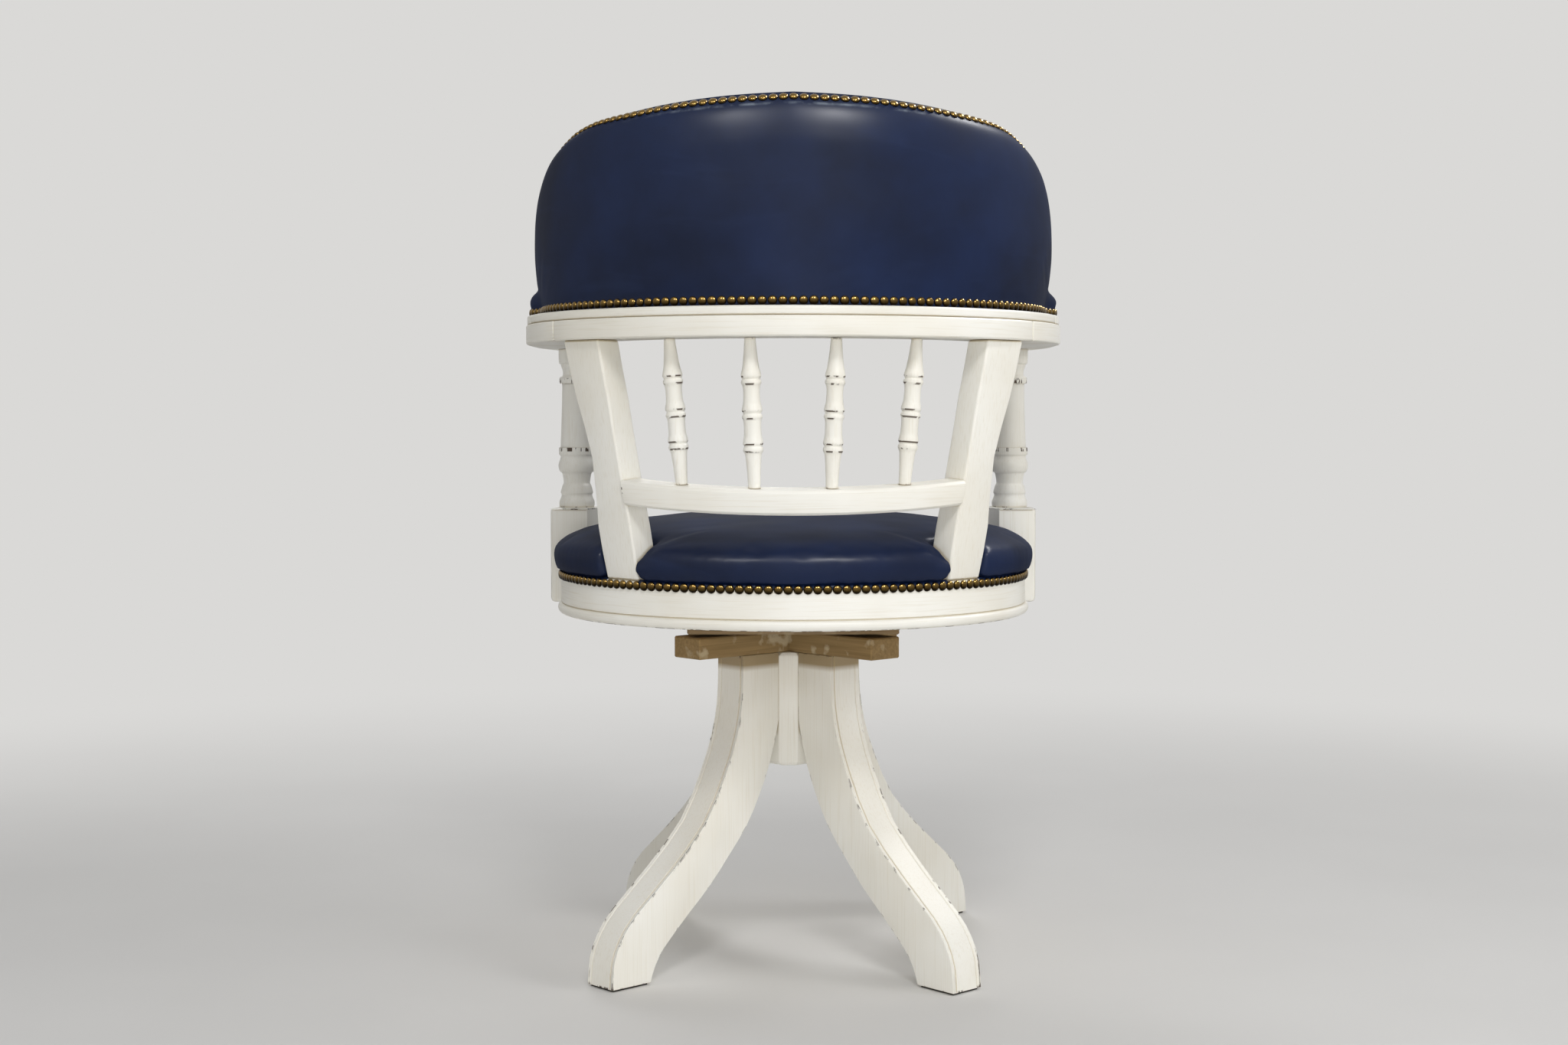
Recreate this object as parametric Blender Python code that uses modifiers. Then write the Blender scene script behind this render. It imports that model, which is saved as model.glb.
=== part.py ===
"""Swivel armchair: a painted wooden tub chair on a four-legged swivel base.

Metres, +Z up. The chair faces -Y and its back is towards +Y. The origin is on the floor,
under the middle of the whole chair, and the swivel axis stands AXIS_Y away from it.
The base is modelled around the swivel axis, and the seat and all above it around the seat's
middle, which stands SEAT_SIDE beside that axis. Each piece is parented to an empty there.
"""
import math

import bmesh
import bpy
from mathutils import Matrix, Vector

# Clearances
GAP = 0.0003            # between pieces that touch
SOFT_GAP = 0.0010       # between a cushion and the wood that passes through it
RUN_GAP = 0.0004        # between pieces that turn against each other

# Base
LEG_TOP = 0.351         # height of the leg tops, under the cross
LEG_REACH = 0.2815      # from the swivel axis to the toe
LEG_THICK = 0.044
LEG_BLOCK = 0.092       # from the axis to the leg's outer face at the top
FOOT_LENGTH = 0.0535    # flat under each toe
BASE_TURN = -2.0        # degrees; the base stands a little turned under the seat
SEAT_SIDE = 0.0040      # the seat is screwed on this far to one side of the swivel axis
PAD_THICK = 0.0020      # felt under the feet
PAD_INSET = 0.0030
HUB_HALF = 0.0375       # axis to the faces that the legs are fixed to
HUB_CORNER = 0.042      # axis to the narrow faces between the legs
HUB_DROP = 0.1306       # hub length below the leg tops
HUB_ROUND = 0.0040
TENON_LONG = 0.036
TENON_TALL = 0.050
TENON_THICK = 0.012
TENON_DROP = 0.052      # middle of the tenon below the leg tops

# Cross on the leg tops
BEAM_WIDE = 0.045
BEAM_THICK = 0.024
BEAM_REACH = 0.157
BEAM_ROUND = 0.0015
SCREW_SHANK = 0.0025
SCREW_HEAD = 0.0055
SCREW_LONG = 0.048

# Swivel
SHAFT_R = 0.0100
BUSH_WALL = 0.0026
BUSH_LONG = 0.020
NUT_POCKET_R = 0.0180
NUT_POCKET_DEEP = 0.022
NUT_TALL = 0.010
NUT_ACROSS = 0.028      # across the corners
WASHER_THICK = 0.0020
WASHER_EASE = 0.0014    # between the washer's rim and its pocket
SHAFT_HEAD_R = 0.0180
SHAFT_HEAD_TALL = 0.0050
SHAFT_TAIL = 0.0030     # thread below the nut
THRUST_R = 0.036
THRUST_THICK = 0.0020
PLATE_SIDE = 0.110
PLATE_THICK = 0.0040
BOARD_CLEAR = 0.0040    # from the cross up to the mounting board
BOARD_SIDE = 0.236
BOARD_THICK = 0.0175

# Seat
RIM_R = 0.2685          # outer face of the seat ring
RIM_WIDE = 0.055
RIM_TALL = 0.049
RIM_LIP = 0.0035        # how far the lower bead stands out
RIM_BEAD = 0.0140       # height of the lower bead
PANEL_THICK = 0.012
PANEL_REST = 0.012      # how far the panel reaches under the ring
CUSHION_BULGE = 0.278   # widest radius of the seat cushion
CUSHION_WIDEST = 0.0235  # its height above the ring there
CUSHION_CROWN = 0.0655  # its height above the ring in the middle
CUSHION_EDGE = 0.2630   # radius where the leather meets the ring

# Arm rail
RAIL_UNDER = 0.7035     # height of the rail's underside
RAIL_R = 0.3070         # outer edge round the back
RAIL_WIDE = 0.067
RAIL_THICK = 0.0215
RAIL_ROUND = 0.0040
CAP_THICK = 0.0099
CAP_INSET = 0.0012      # the cap board is set in from the rail's edge
ARM_STRAIGHT = 0.060    # straight run of the arm, forward of the axis
ARM_BEND_R = 0.533      # outer radius of the bend at the arm's front
ARM_TIP_Y = 0.235       # how far the arm reaches forward of the axis
RAIL_JOINT = 58.0       # degrees from the back to the joint in the rail
CAP_JOINT = 74.0        # degrees from the back to the joint in the cap board

# Posts and spindles
REAR_POST_DEEP = 0.030
REAR_POST_ROUND = 0.0020
REAR_POST_TURN = 45.0   # degrees from the back to the post's flat face
POST_FOOT_R = 0.2674    # axis to the post's back face at the foot
POST_HEAD_R = 0.3000    # and under the rail
PIN_R = 0.0080
PIN_LONG = 0.012
STRETCHER_R = 0.2830    # outer face, half way up
STRETCHER_DEEP = 0.028
STRETCHER_TALL = 0.0262
STRETCHER_RISE = 0.0854  # its middle above the seat ring, at the back
STRETCHER_TILT = 7.5    # degrees; the whole bent plank slopes down to the back
STRETCHER_SPAN = 52.0   # degrees each way, before it is cut by the posts
STRETCHER_ROUND = 0.0030
SPINDLE_COUNT = 4
SPINDLE_FOOT_STEP = 17.2  # degrees between spindles on the stretcher
SPINDLE_HEAD_STEP = 18.9  # degrees between them under the rail
SPINDLE_PIN_R = 0.0050
SPINDLE_PIN_LONG = 0.010
SPINDLE_EASE = 0.0004   # leaning shoulders stay clear of the rail
FRONT_POST_X = 0.2642
FRONT_POST_Y = 0.130    # forward of the axis
FRONT_BLOCK = 0.059
FRONT_BLOCK_TALL = 0.1145
FRONT_BLOCK_ROUND = 0.0050

# Upholstery above the rail
BACK_RISE = 0.2206      # top of the back above the cap board, in the middle
WING_RISE = 0.0496      # top of the back above the cap board, at the wing's foot
WING_LENGTH = 0.4977    # along the rail's middle, from the back to the wing's foot
SHELL_THICK = 0.0090
SHELL_SET = -0.0040     # middle of the plywood shell, from the rail's middle line
BACK_FOOT = 0.0150      # outer face of the back at its foot, from the rail's middle line
ARM_PAD_RISE = 0.038
ARM_PAD_OUT = 0.0020    # how far the pad hangs over the rail's outer edge
ARM_PAD_IN = 0.0010
NAIL_BAND = 0.0095      # height of a row of nails
NAIL_STAND = 0.0020     # how far a row of nails stands out

# Heights that follow from the sizes above
HUB_BOTTOM = LEG_TOP - HUB_DROP
CROSS_BOTTOM = LEG_TOP + GAP
CROSS_TOP = CROSS_BOTTOM + BEAM_THICK
BOARD_BOTTOM = CROSS_TOP + BOARD_CLEAR
BOARD_TOP = BOARD_BOTTOM + BOARD_THICK
RIM_BOTTOM = BOARD_TOP + GAP
RIM_TOP = RIM_BOTTOM + RIM_TALL
PANEL_TOP = RIM_BOTTOM + PANEL_THICK
RAIL_TOP = RAIL_UNDER + RAIL_THICK
CAP_BOTTOM = RAIL_TOP + GAP
CAP_TOP = CAP_BOTTOM + CAP_THICK
PAD_BOTTOM = CAP_TOP + GAP
RAIL_MID_R = RAIL_R - RAIL_WIDE / 2
BORE_R = SHAFT_R + RUN_GAP + BUSH_WALL
RIM_INNER_R = RIM_R - RIM_WIDE
PANEL_R = RIM_INNER_R + PANEL_REST
REAR_REACH = RAIL_R
FRONT_REACH = max(CUSHION_BULGE, RIM_R + RIM_LIP)
AXIS_Y = (FRONT_REACH - REAR_REACH) / 2

# Outlines, each as shares of the sizes above: along, then up
LEG_OUTER = ((0.0, 1.0), (0.0, 0.93), (0.01, 0.84), (0.05, 0.74), (0.14, 0.62), (0.30, 0.47),
             (0.56, 0.335), (0.82, 0.22), (0.93, 0.15), (0.985, 0.08), (1.0, 0.0))
LEG_INNER = ((1.0, 0.0), (0.965, 0.05), (0.89, 0.105), (0.72, 0.19), (0.55, 0.27), (0.395, 0.36),
             (0.258, 0.445), (0.155, 0.54), (0.075, 0.635), (0.02, 0.73), (0.0, 0.78))
BACK_TOP_LINE = ((0.0, 1.0), (0.16, 0.981), (0.33, 0.948), (0.50, 0.897), (0.60, 0.838),
                 (0.70, 0.752), (0.80, 0.610), (0.88, 0.415), (0.94, 0.205), (1.0, 0.0))

RIDGE_SHARE = 0.99      # top edge of the leather, under its nails

# Sections of the upholstery: metres outward from the rail's middle line, share of the height
BACK_OUTER_FACE = ((0.0168, 0.06), (0.0180, 0.18), (0.0203, 0.48), (0.0160, 0.75), (0.0080, 0.91),
                   (-0.0022, RIDGE_SHARE))
BACK_INNER_FACE = ((-0.0065, RIDGE_SHARE), (-0.0190, 0.95), (-0.0310, 0.80), (-0.0390, 0.50),
                   (-0.0400, 0.20), (-0.0310, 0.0))
SHELL_TOP_SHARE = 0.88
ARM_PAD_SECTION = ((0.94, 0.0), (1.0, 0.36), (0.93, 0.66), (0.62, 0.92), (0.0, 1.0),
                   (-0.62, 0.92), (-0.93, 0.66), (-1.0, 0.36), (-0.94, 0.0))

# Turned shapes: height above the foot, radius
SPINDLE_TURNING = (
    (0.0000, 0.0060), (0.0170, 0.0066), (0.0372, 0.0081), (0.0385, 0.0102), (0.0430, 0.0102),
    (0.0440, 0.0090), (0.0455, 0.0099), (0.0500, 0.0099), (0.0545, 0.0089), (0.0620, 0.0085),
    (0.0715, 0.0088), (0.0728, 0.0101), (0.0775, 0.0101), (0.0785, 0.0090), (0.0800, 0.0099),
    (0.0850, 0.0099), (0.0910, 0.0084), (0.1000, 0.0080), (0.1075, 0.0083), (0.1088, 0.0101),
    (0.1138, 0.0101), (0.1148, 0.0090), (0.1162, 0.0099), (0.1205, 0.0099), (0.1250, 0.0087),
    (0.1310, 0.0072), (0.1580, 0.0056))
FRONT_TURNING = (
    (0.0000, 0.0210), (0.0060, 0.0215), (0.0125, 0.0190), (0.0155, 0.0187), (0.0180, 0.0196),
    (0.0260, 0.0176), (0.0300, 0.0160), (0.0410, 0.0178), (0.0435, 0.0206), (0.0515, 0.0224),
    (0.0600, 0.0197), (0.0630, 0.0200), (0.0645, 0.0215), (0.0725, 0.0215), (0.0740, 0.0196),
    (0.1485, 0.0173), (0.1510, 0.0203), (0.1580, 0.0203), (0.1600, 0.0168), (0.1660, 0.0165),
    (0.1720, 0.0186), (0.1745, 0.0190), (0.1765, 0.0212), (0.1925, 0.0215))

# Rear post: share of its height, then metres along its back face to the inner and outer edge
POST_EDGES = ((0.00, -0.0326, 0.0178), (0.11, -0.0316, 0.0222), (0.22, -0.0294, 0.0251),
              (0.35, -0.0250, 0.0235), (0.51, -0.0206, 0.0238), (0.64, -0.0170, 0.0312),
              (0.76, -0.0143, 0.0400), (0.88, -0.0100, 0.0462), (1.00, -0.0064, 0.0511))

PAINT = ("painted_wood", (0.86, 0.82, 0.72), 0.45, 0.0)
BARE_WOOD = ("bare_wood", (0.30, 0.20, 0.12), 0.75, 0.0)
PLYWOOD = ("plywood", (0.55, 0.42, 0.27), 0.7, 0.0)
LEATHER = ("navy_leather", (0.020, 0.032, 0.085), 0.42, 0.0)
BRASS = ("antique_brass", (0.32, 0.20, 0.08), 0.35, 1.0)
STEEL = ("steel", (0.45, 0.45, 0.46), 0.35, 1.0)
BRONZE = ("bronze", (0.45, 0.30, 0.15), 0.35, 1.0)
FELT = ("felt", (0.03, 0.03, 0.03), 0.95, 0.0)


def clear_scene():
    for item in list(bpy.data.objects):
        bpy.data.objects.remove(item, do_unlink=True)


def new_collection(name, hidden=False):
    group = bpy.data.collections.new(name)
    group.hide_render = hidden
    bpy.context.scene.collection.children.link(group)
    return group


clear_scene()
CHAIR = new_collection("swivel_armchair")
CUTTERS = new_collection("cutters", hidden=True)


def new_empty(name, parent=None):
    empty = bpy.data.objects.new(name, None)
    CHAIR.objects.link(empty)
    empty.parent = parent
    return empty


AXIS = new_empty("base_axis")
AXIS.location = (SEAT_SIDE, AXIS_Y, 0.0)
TURNING = new_empty("seat_swivel", AXIS)
SEAT = new_empty("seat_middle", TURNING)
SEAT.location = (-SEAT_SIDE, 0.0, 0.0)
BASE = new_empty("base_turned", AXIS)
BASE.rotation_euler = (0.0, 0.0, math.radians(BASE_TURN))


def material(spec):
    name, colour, roughness, metallic = spec
    found = bpy.data.materials.get(name)
    if found:
        return found
    made = bpy.data.materials.new(name)
    made.use_nodes = True
    shader = made.node_tree.nodes["Principled BSDF"]
    shader.inputs["Base Color"].default_value = (*colour, 1.0)
    shader.inputs["Roughness"].default_value = roughness
    shader.inputs["Metallic"].default_value = metallic
    return made


def add_piece(name, mesh, spec, parent):
    """Put a mesh in the scene as a piece of the chair, or as a cutter when it has no material."""
    piece = bpy.data.objects.new(name, mesh)
    piece.parent = parent
    if spec is None:
        CUTTERS.objects.link(piece)
        piece.hide_render = True
        piece.display_type = "WIRE"
    else:
        CHAIR.objects.link(piece)
        mesh.materials.append(material(spec))
    return piece


def mesh_from(bm, name):
    bmesh.ops.recalc_face_normals(bm, faces=bm.faces)
    mesh = bpy.data.meshes.new(name)
    bm.to_mesh(mesh)
    bm.free()
    mesh.shade_smooth()
    mesh.set_sharp_from_angle(angle=math.radians(35))
    return mesh


def box(name, size, centre, spec, parent, turn=0.0):
    """A box of the given size, turned about its own upright axis by turn degrees."""
    bm = bmesh.new()
    bmesh.ops.create_cube(bm, size=1.0)
    bmesh.ops.scale(bm, vec=size, verts=bm.verts)
    piece = add_piece(name, mesh_from(bm, name), spec, parent)
    piece.location = centre
    piece.rotation_euler.z = math.radians(turn)
    return piece


def rod(name, radius, start, end, spec, parent, sides=16):
    """A round bar between two points."""
    start, end = Vector(start), Vector(end)
    run = end - start
    bm = bmesh.new()
    bmesh.ops.create_cone(bm, cap_ends=True, segments=sides, radius1=radius, radius2=radius,
                          depth=run.length)
    piece = add_piece(name, mesh_from(bm, name), spec, parent)
    piece.location = (start + end) / 2
    piece.rotation_euler = run.to_track_quat("Z", "Y").to_euler()
    return piece


def turned(name, profile, steps, spec, parent, closed=False):
    """A turned shape. The profile is (radius, height), down its outer side."""
    bm = bmesh.new()
    points = [bm.verts.new((radius, 0.0, height)) for radius, height in profile]
    for first, second in zip(points, points[1:]):
        bm.edges.new((first, second))
    if closed:
        bm.edges.new((points[-1], points[0]))
    mesh = bpy.data.meshes.new(name)
    bm.to_mesh(mesh)
    bm.free()
    piece = add_piece(name, mesh, spec, parent)
    screw = piece.modifiers.new("turn", "SCREW")
    screw.axis = "Z"
    screw.angle = math.tau
    screw.steps = steps
    screw.render_steps = steps
    screw.use_merge_vertices = True
    screw.merge_threshold = 0.0001
    screw.use_smooth_shade = True
    return piece


def solid_profile(outside):
    """Close an outside run of (radius, height) to the axis at both ends."""
    return [(0.0, outside[0][1]), *outside, (0.0, outside[-1][1])]


def bevel(piece, width, angle=40.0, segments=1):
    edge = piece.modifiers.new("rounded", "BEVEL")
    edge.width = width
    edge.segments = segments
    edge.limit_method = "ANGLE"
    edge.angle_limit = math.radians(angle)
    edge.harden_normals = False
    return edge


def combine(piece, tool, operation):
    change = piece.modifiers.new(operation.lower(), "BOOLEAN")
    change.operation = operation
    change.solver = "EXACT"
    change.object = tool


def cut(piece, *tools):
    for tool in tools:
        combine(piece, tool, "DIFFERENCE")


def join(piece, *tools):
    for tool in tools:
        combine(piece, tool, "UNION")


def smooth_value(points, x, column=1):
    """Read a smooth line through (x, value, ...) points at x."""
    xs = [point[0] for point in points]
    values = [point[column] for point in points]
    x = min(max(x, xs[0]), xs[-1])
    index = max(i for i in range(len(xs) - 1) if xs[i] <= x)

    def slope(i):
        low, high = max(i - 1, 0), min(i + 1, len(xs) - 1)
        return (values[high] - values[low]) / (xs[high] - xs[low])

    span = xs[index + 1] - xs[index]
    t = (x - xs[index]) / span
    return ((2 * t ** 3 - 3 * t ** 2 + 1) * values[index] + (t ** 3 - 2 * t ** 2 + t) * span * slope(index)
            + (3 * t ** 2 - 2 * t ** 3) * values[index + 1] + (t ** 3 - t ** 2) * span * slope(index + 1))


def smooth_path(points, per_span=2):
    """A smooth line through points of a flat outline, with per_span steps between two of them."""
    line = []
    for i in range(len(points) - 1):
        before, start = Vector(points[max(i - 1, 0)]), Vector(points[i])
        end, after = Vector(points[i + 1]), Vector(points[min(i + 2, len(points) - 1)])
        for step in range(per_span):
            t = step / per_span
            line.append(0.5 * (2 * start + (end - before) * t
                               + (2 * before - 5 * start + 4 * end - after) * t ** 2
                               + (3 * start - before - 3 * end + after) * t ** 3))
    line.append(Vector(points[-1]))
    return [(point.x, point.y) for point in line]


def curve_as_mesh(name, curve, spec, parent):
    """Turn a curve into a mesh with its caps welded, so that it can be cut."""
    holder = bpy.data.objects.new(name + "_curve", curve)
    CUTTERS.objects.link(holder)
    bpy.context.view_layer.update()
    graph = bpy.context.evaluated_depsgraph_get()
    mesh = bpy.data.meshes.new_from_object(holder.evaluated_get(graph))
    mesh.transform(holder.matrix_world)
    bpy.data.objects.remove(holder, do_unlink=True)
    bpy.data.curves.remove(curve)
    bm = bmesh.new()
    bm.from_mesh(mesh)
    bpy.data.meshes.remove(mesh)
    bmesh.ops.remove_doubles(bm, verts=bm.verts, dist=0.00005)
    return add_piece(name, mesh_from(bm, name), spec, parent)


def outline_curve(name, outline):
    curve = bpy.data.curves.new(name, "CURVE")
    curve.dimensions = "2D"
    line = curve.splines.new("POLY")
    line.points.add(len(outline) - 1)
    for point, (x, y) in zip(line.points, outline):
        point.co = (x, y, 0.0, 1.0)
    line.use_cyclic_u = True
    return curve


def board(name, outline, bottom, top, spec, parent):
    """A flat outline, seen from above, with a bottom and a top height."""
    curve = outline_curve(name, outline)
    curve.fill_mode = "BOTH"
    curve.extrude = (top - bottom) / 2
    piece = curve_as_mesh(name, curve, spec, parent)
    piece.data.transform(Matrix.Translation((0.0, 0.0, (bottom + top) / 2)))
    return piece


def swept(name, section, path, spec, parent):
    """A section of (outward, up) points swept along a flat path of (x, y) points.

    The path runs clockwise seen from above, so that outward is on its left.
    """
    profile = bpy.data.objects.new(name + "_section", outline_curve(name + "_section",
                                                                      [(-x, y) for x, y in section]))
    CUTTERS.objects.link(profile)
    curve = bpy.data.curves.new(name, "CURVE")
    curve.dimensions = "2D"
    line = curve.splines.new("POLY")
    line.points.add(len(path) - 1)
    for point, (x, y) in zip(line.points, path):
        point.co = (x, y, 0.0, 1.0)
    curve.bevel_mode = "OBJECT"
    curve.bevel_object = profile
    curve.use_fill_caps = True
    piece = curve_as_mesh(name, curve, spec, parent)
    bpy.data.objects.remove(profile, do_unlink=True)
    return piece


def loft(name, sections, spec, parent):
    """Join sections with equal numbers of points into one closed solid."""
    bm = bmesh.new()
    rings = [[bm.verts.new(point) for point in section] for section in sections]
    count = len(rings[0])
    for low, high in zip(rings, rings[1:]):
        for i in range(count):
            j = (i + 1) % count
            bm.faces.new((low[i], low[j], high[j], high[i]))
    bm.faces.new(rings[0])
    bm.faces.new(list(reversed(rings[-1])))
    return add_piece(name, mesh_from(bm, name), spec, parent)


def polar(radius, degrees, height=0.0):
    """A point at an angle from the back, towards +X."""
    angle = math.radians(degrees)
    return Vector((radius * math.sin(angle), radius * math.cos(angle), height))


def leg_outline():
    """The side view of a leg: distance from the axis, height."""
    inner_r = HUB_HALF + GAP
    low = PAD_THICK + GAP
    tall = LEG_TOP - low
    toe_in = LEG_REACH - FOOT_LENGTH
    outer = [(LEG_BLOCK + share * (LEG_REACH - LEG_BLOCK), low + up * tall) for share, up in LEG_OUTER]
    inner = [(inner_r + share * (toe_in - inner_r), low + up * tall) for share, up in LEG_INNER]
    return smooth_path(outer) + smooth_path(inner) + [(inner_r, LEG_TOP)]


def countersunk(name, reach, grow, spec, parent, turn):
    """A countersunk screw that stands upright in the cross, head up."""
    head_top = CROSS_TOP - GAP + (0.002 if grow else 0.0)
    shoulder = CROSS_TOP - SCREW_HEAD
    tip = CROSS_TOP - SCREW_LONG
    shape = solid_profile([(SCREW_HEAD + grow, head_top), (SCREW_HEAD + grow, CROSS_TOP - 0.001),
                           (SCREW_SHANK + grow, shoulder), (SCREW_SHANK + grow, tip + 0.004),
                           (0.0006 + grow, tip - grow)])
    screw = turned(name, shape, 12, spec, parent)
    screw.location = reach * Vector((math.cos(math.radians(turn)), math.sin(math.radians(turn)), 0.0))
    return screw


def make_base():
    hub_chamfer = HUB_HALF * math.sqrt(2) - HUB_CORNER
    flat = HUB_HALF - hub_chamfer * math.sqrt(2)
    outline = []
    for quarter in range(4):
        for along, out in ((-flat, HUB_HALF), (flat, HUB_HALF)):
            turn = math.radians(45 + 90 * quarter)
            outline.append((out * math.cos(turn) - along * math.sin(turn),
                            out * math.sin(turn) + along * math.cos(turn)))
    hub = board("hub_column", outline, HUB_BOTTOM, LEG_TOP, BARE_WOOD, BASE)
    hub.data.materials.clear()
    hub.data.materials.append(material(PAINT))
    bevel(hub, HUB_ROUND, angle=60)
    bore = turned("cut_hub_bore", solid_profile([(BORE_R + GAP, CROSS_TOP + 0.01),
                                                 (BORE_R + GAP, HUB_BOTTOM - 0.01)]), 24, None, BASE)
    pocket = turned("cut_nut_pocket", solid_profile([(NUT_POCKET_R, HUB_BOTTOM + NUT_POCKET_DEEP),
                                                     (NUT_POCKET_R, HUB_BOTTOM - 0.01)]), 24, None, BASE)
    cut(hub, bore, pocket)

    mid = CROSS_BOTTOM + BEAM_THICK / 2
    beams = []
    for index, letter in enumerate("ab"):
        turn = 45 + 90 * index
        beam = box("cross_beam_" + letter, (2 * BEAM_REACH, BEAM_WIDE, BEAM_THICK), (0, 0, mid),
                   BARE_WOOD, BASE, turn)
        bevel(beam, BEAM_ROUND)
        lift = BEAM_THICK / 2 if index == 0 else -BEAM_THICK / 2
        lap = box("cut_lap_" + letter, (BEAM_WIDE + 2 * GAP, BEAM_WIDE * 2, BEAM_THICK + GAP),
                  (0, 0, mid + lift), None, BASE, turn)
        cut(beam, lap, bore)
        beams.append(beam)

    for index in range(4):
        turn = 45 + 90 * index
        number = str(index + 1)
        leg = board("leg_" + number, leg_outline(), -LEG_THICK / 2, LEG_THICK / 2, PAINT, BASE)
        leg.rotation_euler = (math.radians(90), 0, math.radians(turn))
        direction = Vector((math.cos(math.radians(turn)), math.sin(math.radians(turn)), 0.0))
        tenon_at = direction * HUB_HALF + Vector((0, 0, LEG_TOP - TENON_DROP))
        box("leg_tenon_" + number, (TENON_LONG, TENON_THICK, TENON_TALL), tenon_at, BARE_WOOD, BASE, turn)
        slot = box("cut_tenon_" + number, (TENON_LONG + 2 * GAP, TENON_THICK + 2 * GAP, TENON_TALL + 2 * GAP),
                   tenon_at, None, BASE, turn)
        screw_at = (LEG_BLOCK + HUB_HALF) / 2
        countersunk("cross_screw_" + number, screw_at, 0.0, STEEL, BASE, turn)
        hole = countersunk("cut_screw_" + number, screw_at, GAP, None, BASE, turn)
        cut(leg, slot, hole)
        cut(hub, slot)
        cut(beams[index % 2], hole)
        pad_long = FOOT_LENGTH - 2 * PAD_INSET
        pad_at = direction * (LEG_REACH - FOOT_LENGTH / 2) + Vector((0, 0, PAD_THICK / 2))
        box("foot_pad_" + number, (pad_long, LEG_THICK - 2 * PAD_INSET, PAD_THICK), pad_at, FELT, BASE, turn)

    def sleeve(name, inner, outer, bottom, top, spec):
        return turned(name, [(outer, top), (outer, bottom), (inner, bottom), (inner, top)], 24, spec,
                      BASE, closed=True)

    pocket_top = HUB_BOTTOM + NUT_POCKET_DEEP
    sleeve("upper_bush", SHAFT_R + RUN_GAP, BORE_R, LEG_TOP - BUSH_LONG, LEG_TOP, BRONZE)
    sleeve("lower_bush", SHAFT_R + RUN_GAP, BORE_R, pocket_top, pocket_top + BUSH_LONG, BRONZE)
    sleeve("thrust_washer", SHAFT_R + RUN_GAP, THRUST_R, CROSS_TOP + GAP, CROSS_TOP + THRUST_THICK, BRONZE)


def make_swivel():
    plate_bottom = CROSS_TOP + THRUST_THICK + GAP
    plate_top = plate_bottom + PLATE_THICK
    head_bottom = plate_top + GAP
    head_top = head_bottom + SHAFT_HEAD_TALL
    pocket_top = HUB_BOTTOM + NUT_POCKET_DEEP
    washer_top = pocket_top - RUN_GAP
    nut_top = washer_top - WASHER_THICK - GAP
    nut_bottom = nut_top - NUT_TALL
    nut_bore = SHAFT_R + GAP

    turned("swivel_spindle", solid_profile([(SHAFT_HEAD_R, head_top), (SHAFT_HEAD_R, head_bottom),
                                            (SHAFT_R, head_bottom), (SHAFT_R, nut_bottom - SHAFT_TAIL)]),
           24, STEEL, TURNING)
    hole = turned("cut_shaft_hole", solid_profile([(nut_bore, head_top + 0.01), (nut_bore, HUB_BOTTOM - 0.01)]),
                  24, None, TURNING)
    head_room = turned("cut_head_room", solid_profile([(SHAFT_HEAD_R + GAP, head_top + GAP),
                                                       (SHAFT_HEAD_R + GAP, BOARD_BOTTOM - 0.01)]),
                       24, None, TURNING)
    washer_r = NUT_POCKET_R - WASHER_EASE
    turned("spindle_washer", [(washer_r, washer_top), (washer_r, washer_top - WASHER_THICK),
                              (nut_bore, washer_top - WASHER_THICK), (nut_bore, washer_top)],
           24, STEEL, TURNING, closed=True)
    nut = rod("spindle_nut", NUT_ACROSS / 2, (0, 0, nut_bottom), (0, 0, nut_top), STEEL, TURNING, sides=6)
    cut(nut, hole)
    plate_mid = (plate_bottom + plate_top) / 2
    plate = box("swivel_plate", (PLATE_SIDE, PLATE_SIDE, PLATE_THICK), (0, 0, plate_mid), STEEL, TURNING)
    cut(plate, hole)
    mounting = box("mounting_board", (BOARD_SIDE, BOARD_SIDE, BOARD_THICK),
                   (0, 0, BOARD_BOTTOM + BOARD_THICK / 2), BARE_WOOD, SEAT)
    bevel(mounting, BEAM_ROUND)
    recess = box("cut_plate_recess", (PLATE_SIDE + 2 * GAP, PLATE_SIDE + 2 * GAP, PLATE_THICK + 2 * GAP),
                 (0, 0, plate_mid), None, TURNING)
    cut(mounting, recess, head_room)


def post_section(share, grow=0.0, beyond=0.0):
    """The four corners of a rear post on the +X side, at a share of its height.

    The section can be grown all round, and reach further beyond the back face.
    """
    foot, head = RIM_TOP + GAP, RAIL_UNDER - GAP
    height = foot + share * (head - foot)
    back = POST_FOOT_R + share * (POST_HEAD_R - POST_FOOT_R) + grow
    front = back - REAR_POST_DEEP - 2 * grow
    inner = smooth_value(POST_EDGES, share, 1) - grow
    outer = smooth_value(POST_EDGES, share, 2) + grow
    turn = math.radians(REAR_POST_TURN)
    normal = Vector((math.sin(turn), math.cos(turn), 0))
    along = Vector((math.cos(turn), -math.sin(turn), 0))
    back += beyond
    corners = ((back, inner), (back, outer), (front, outer), (front, inner))
    return [normal * out + along * across + Vector((0, 0, height)) for out, across in corners]


def flip(points, side):
    return [Vector((side * point[0], point[1], point[2])) for point in points]


def post_centre(share, side):
    return sum(flip(post_section(share), side), Vector()) / 4


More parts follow.
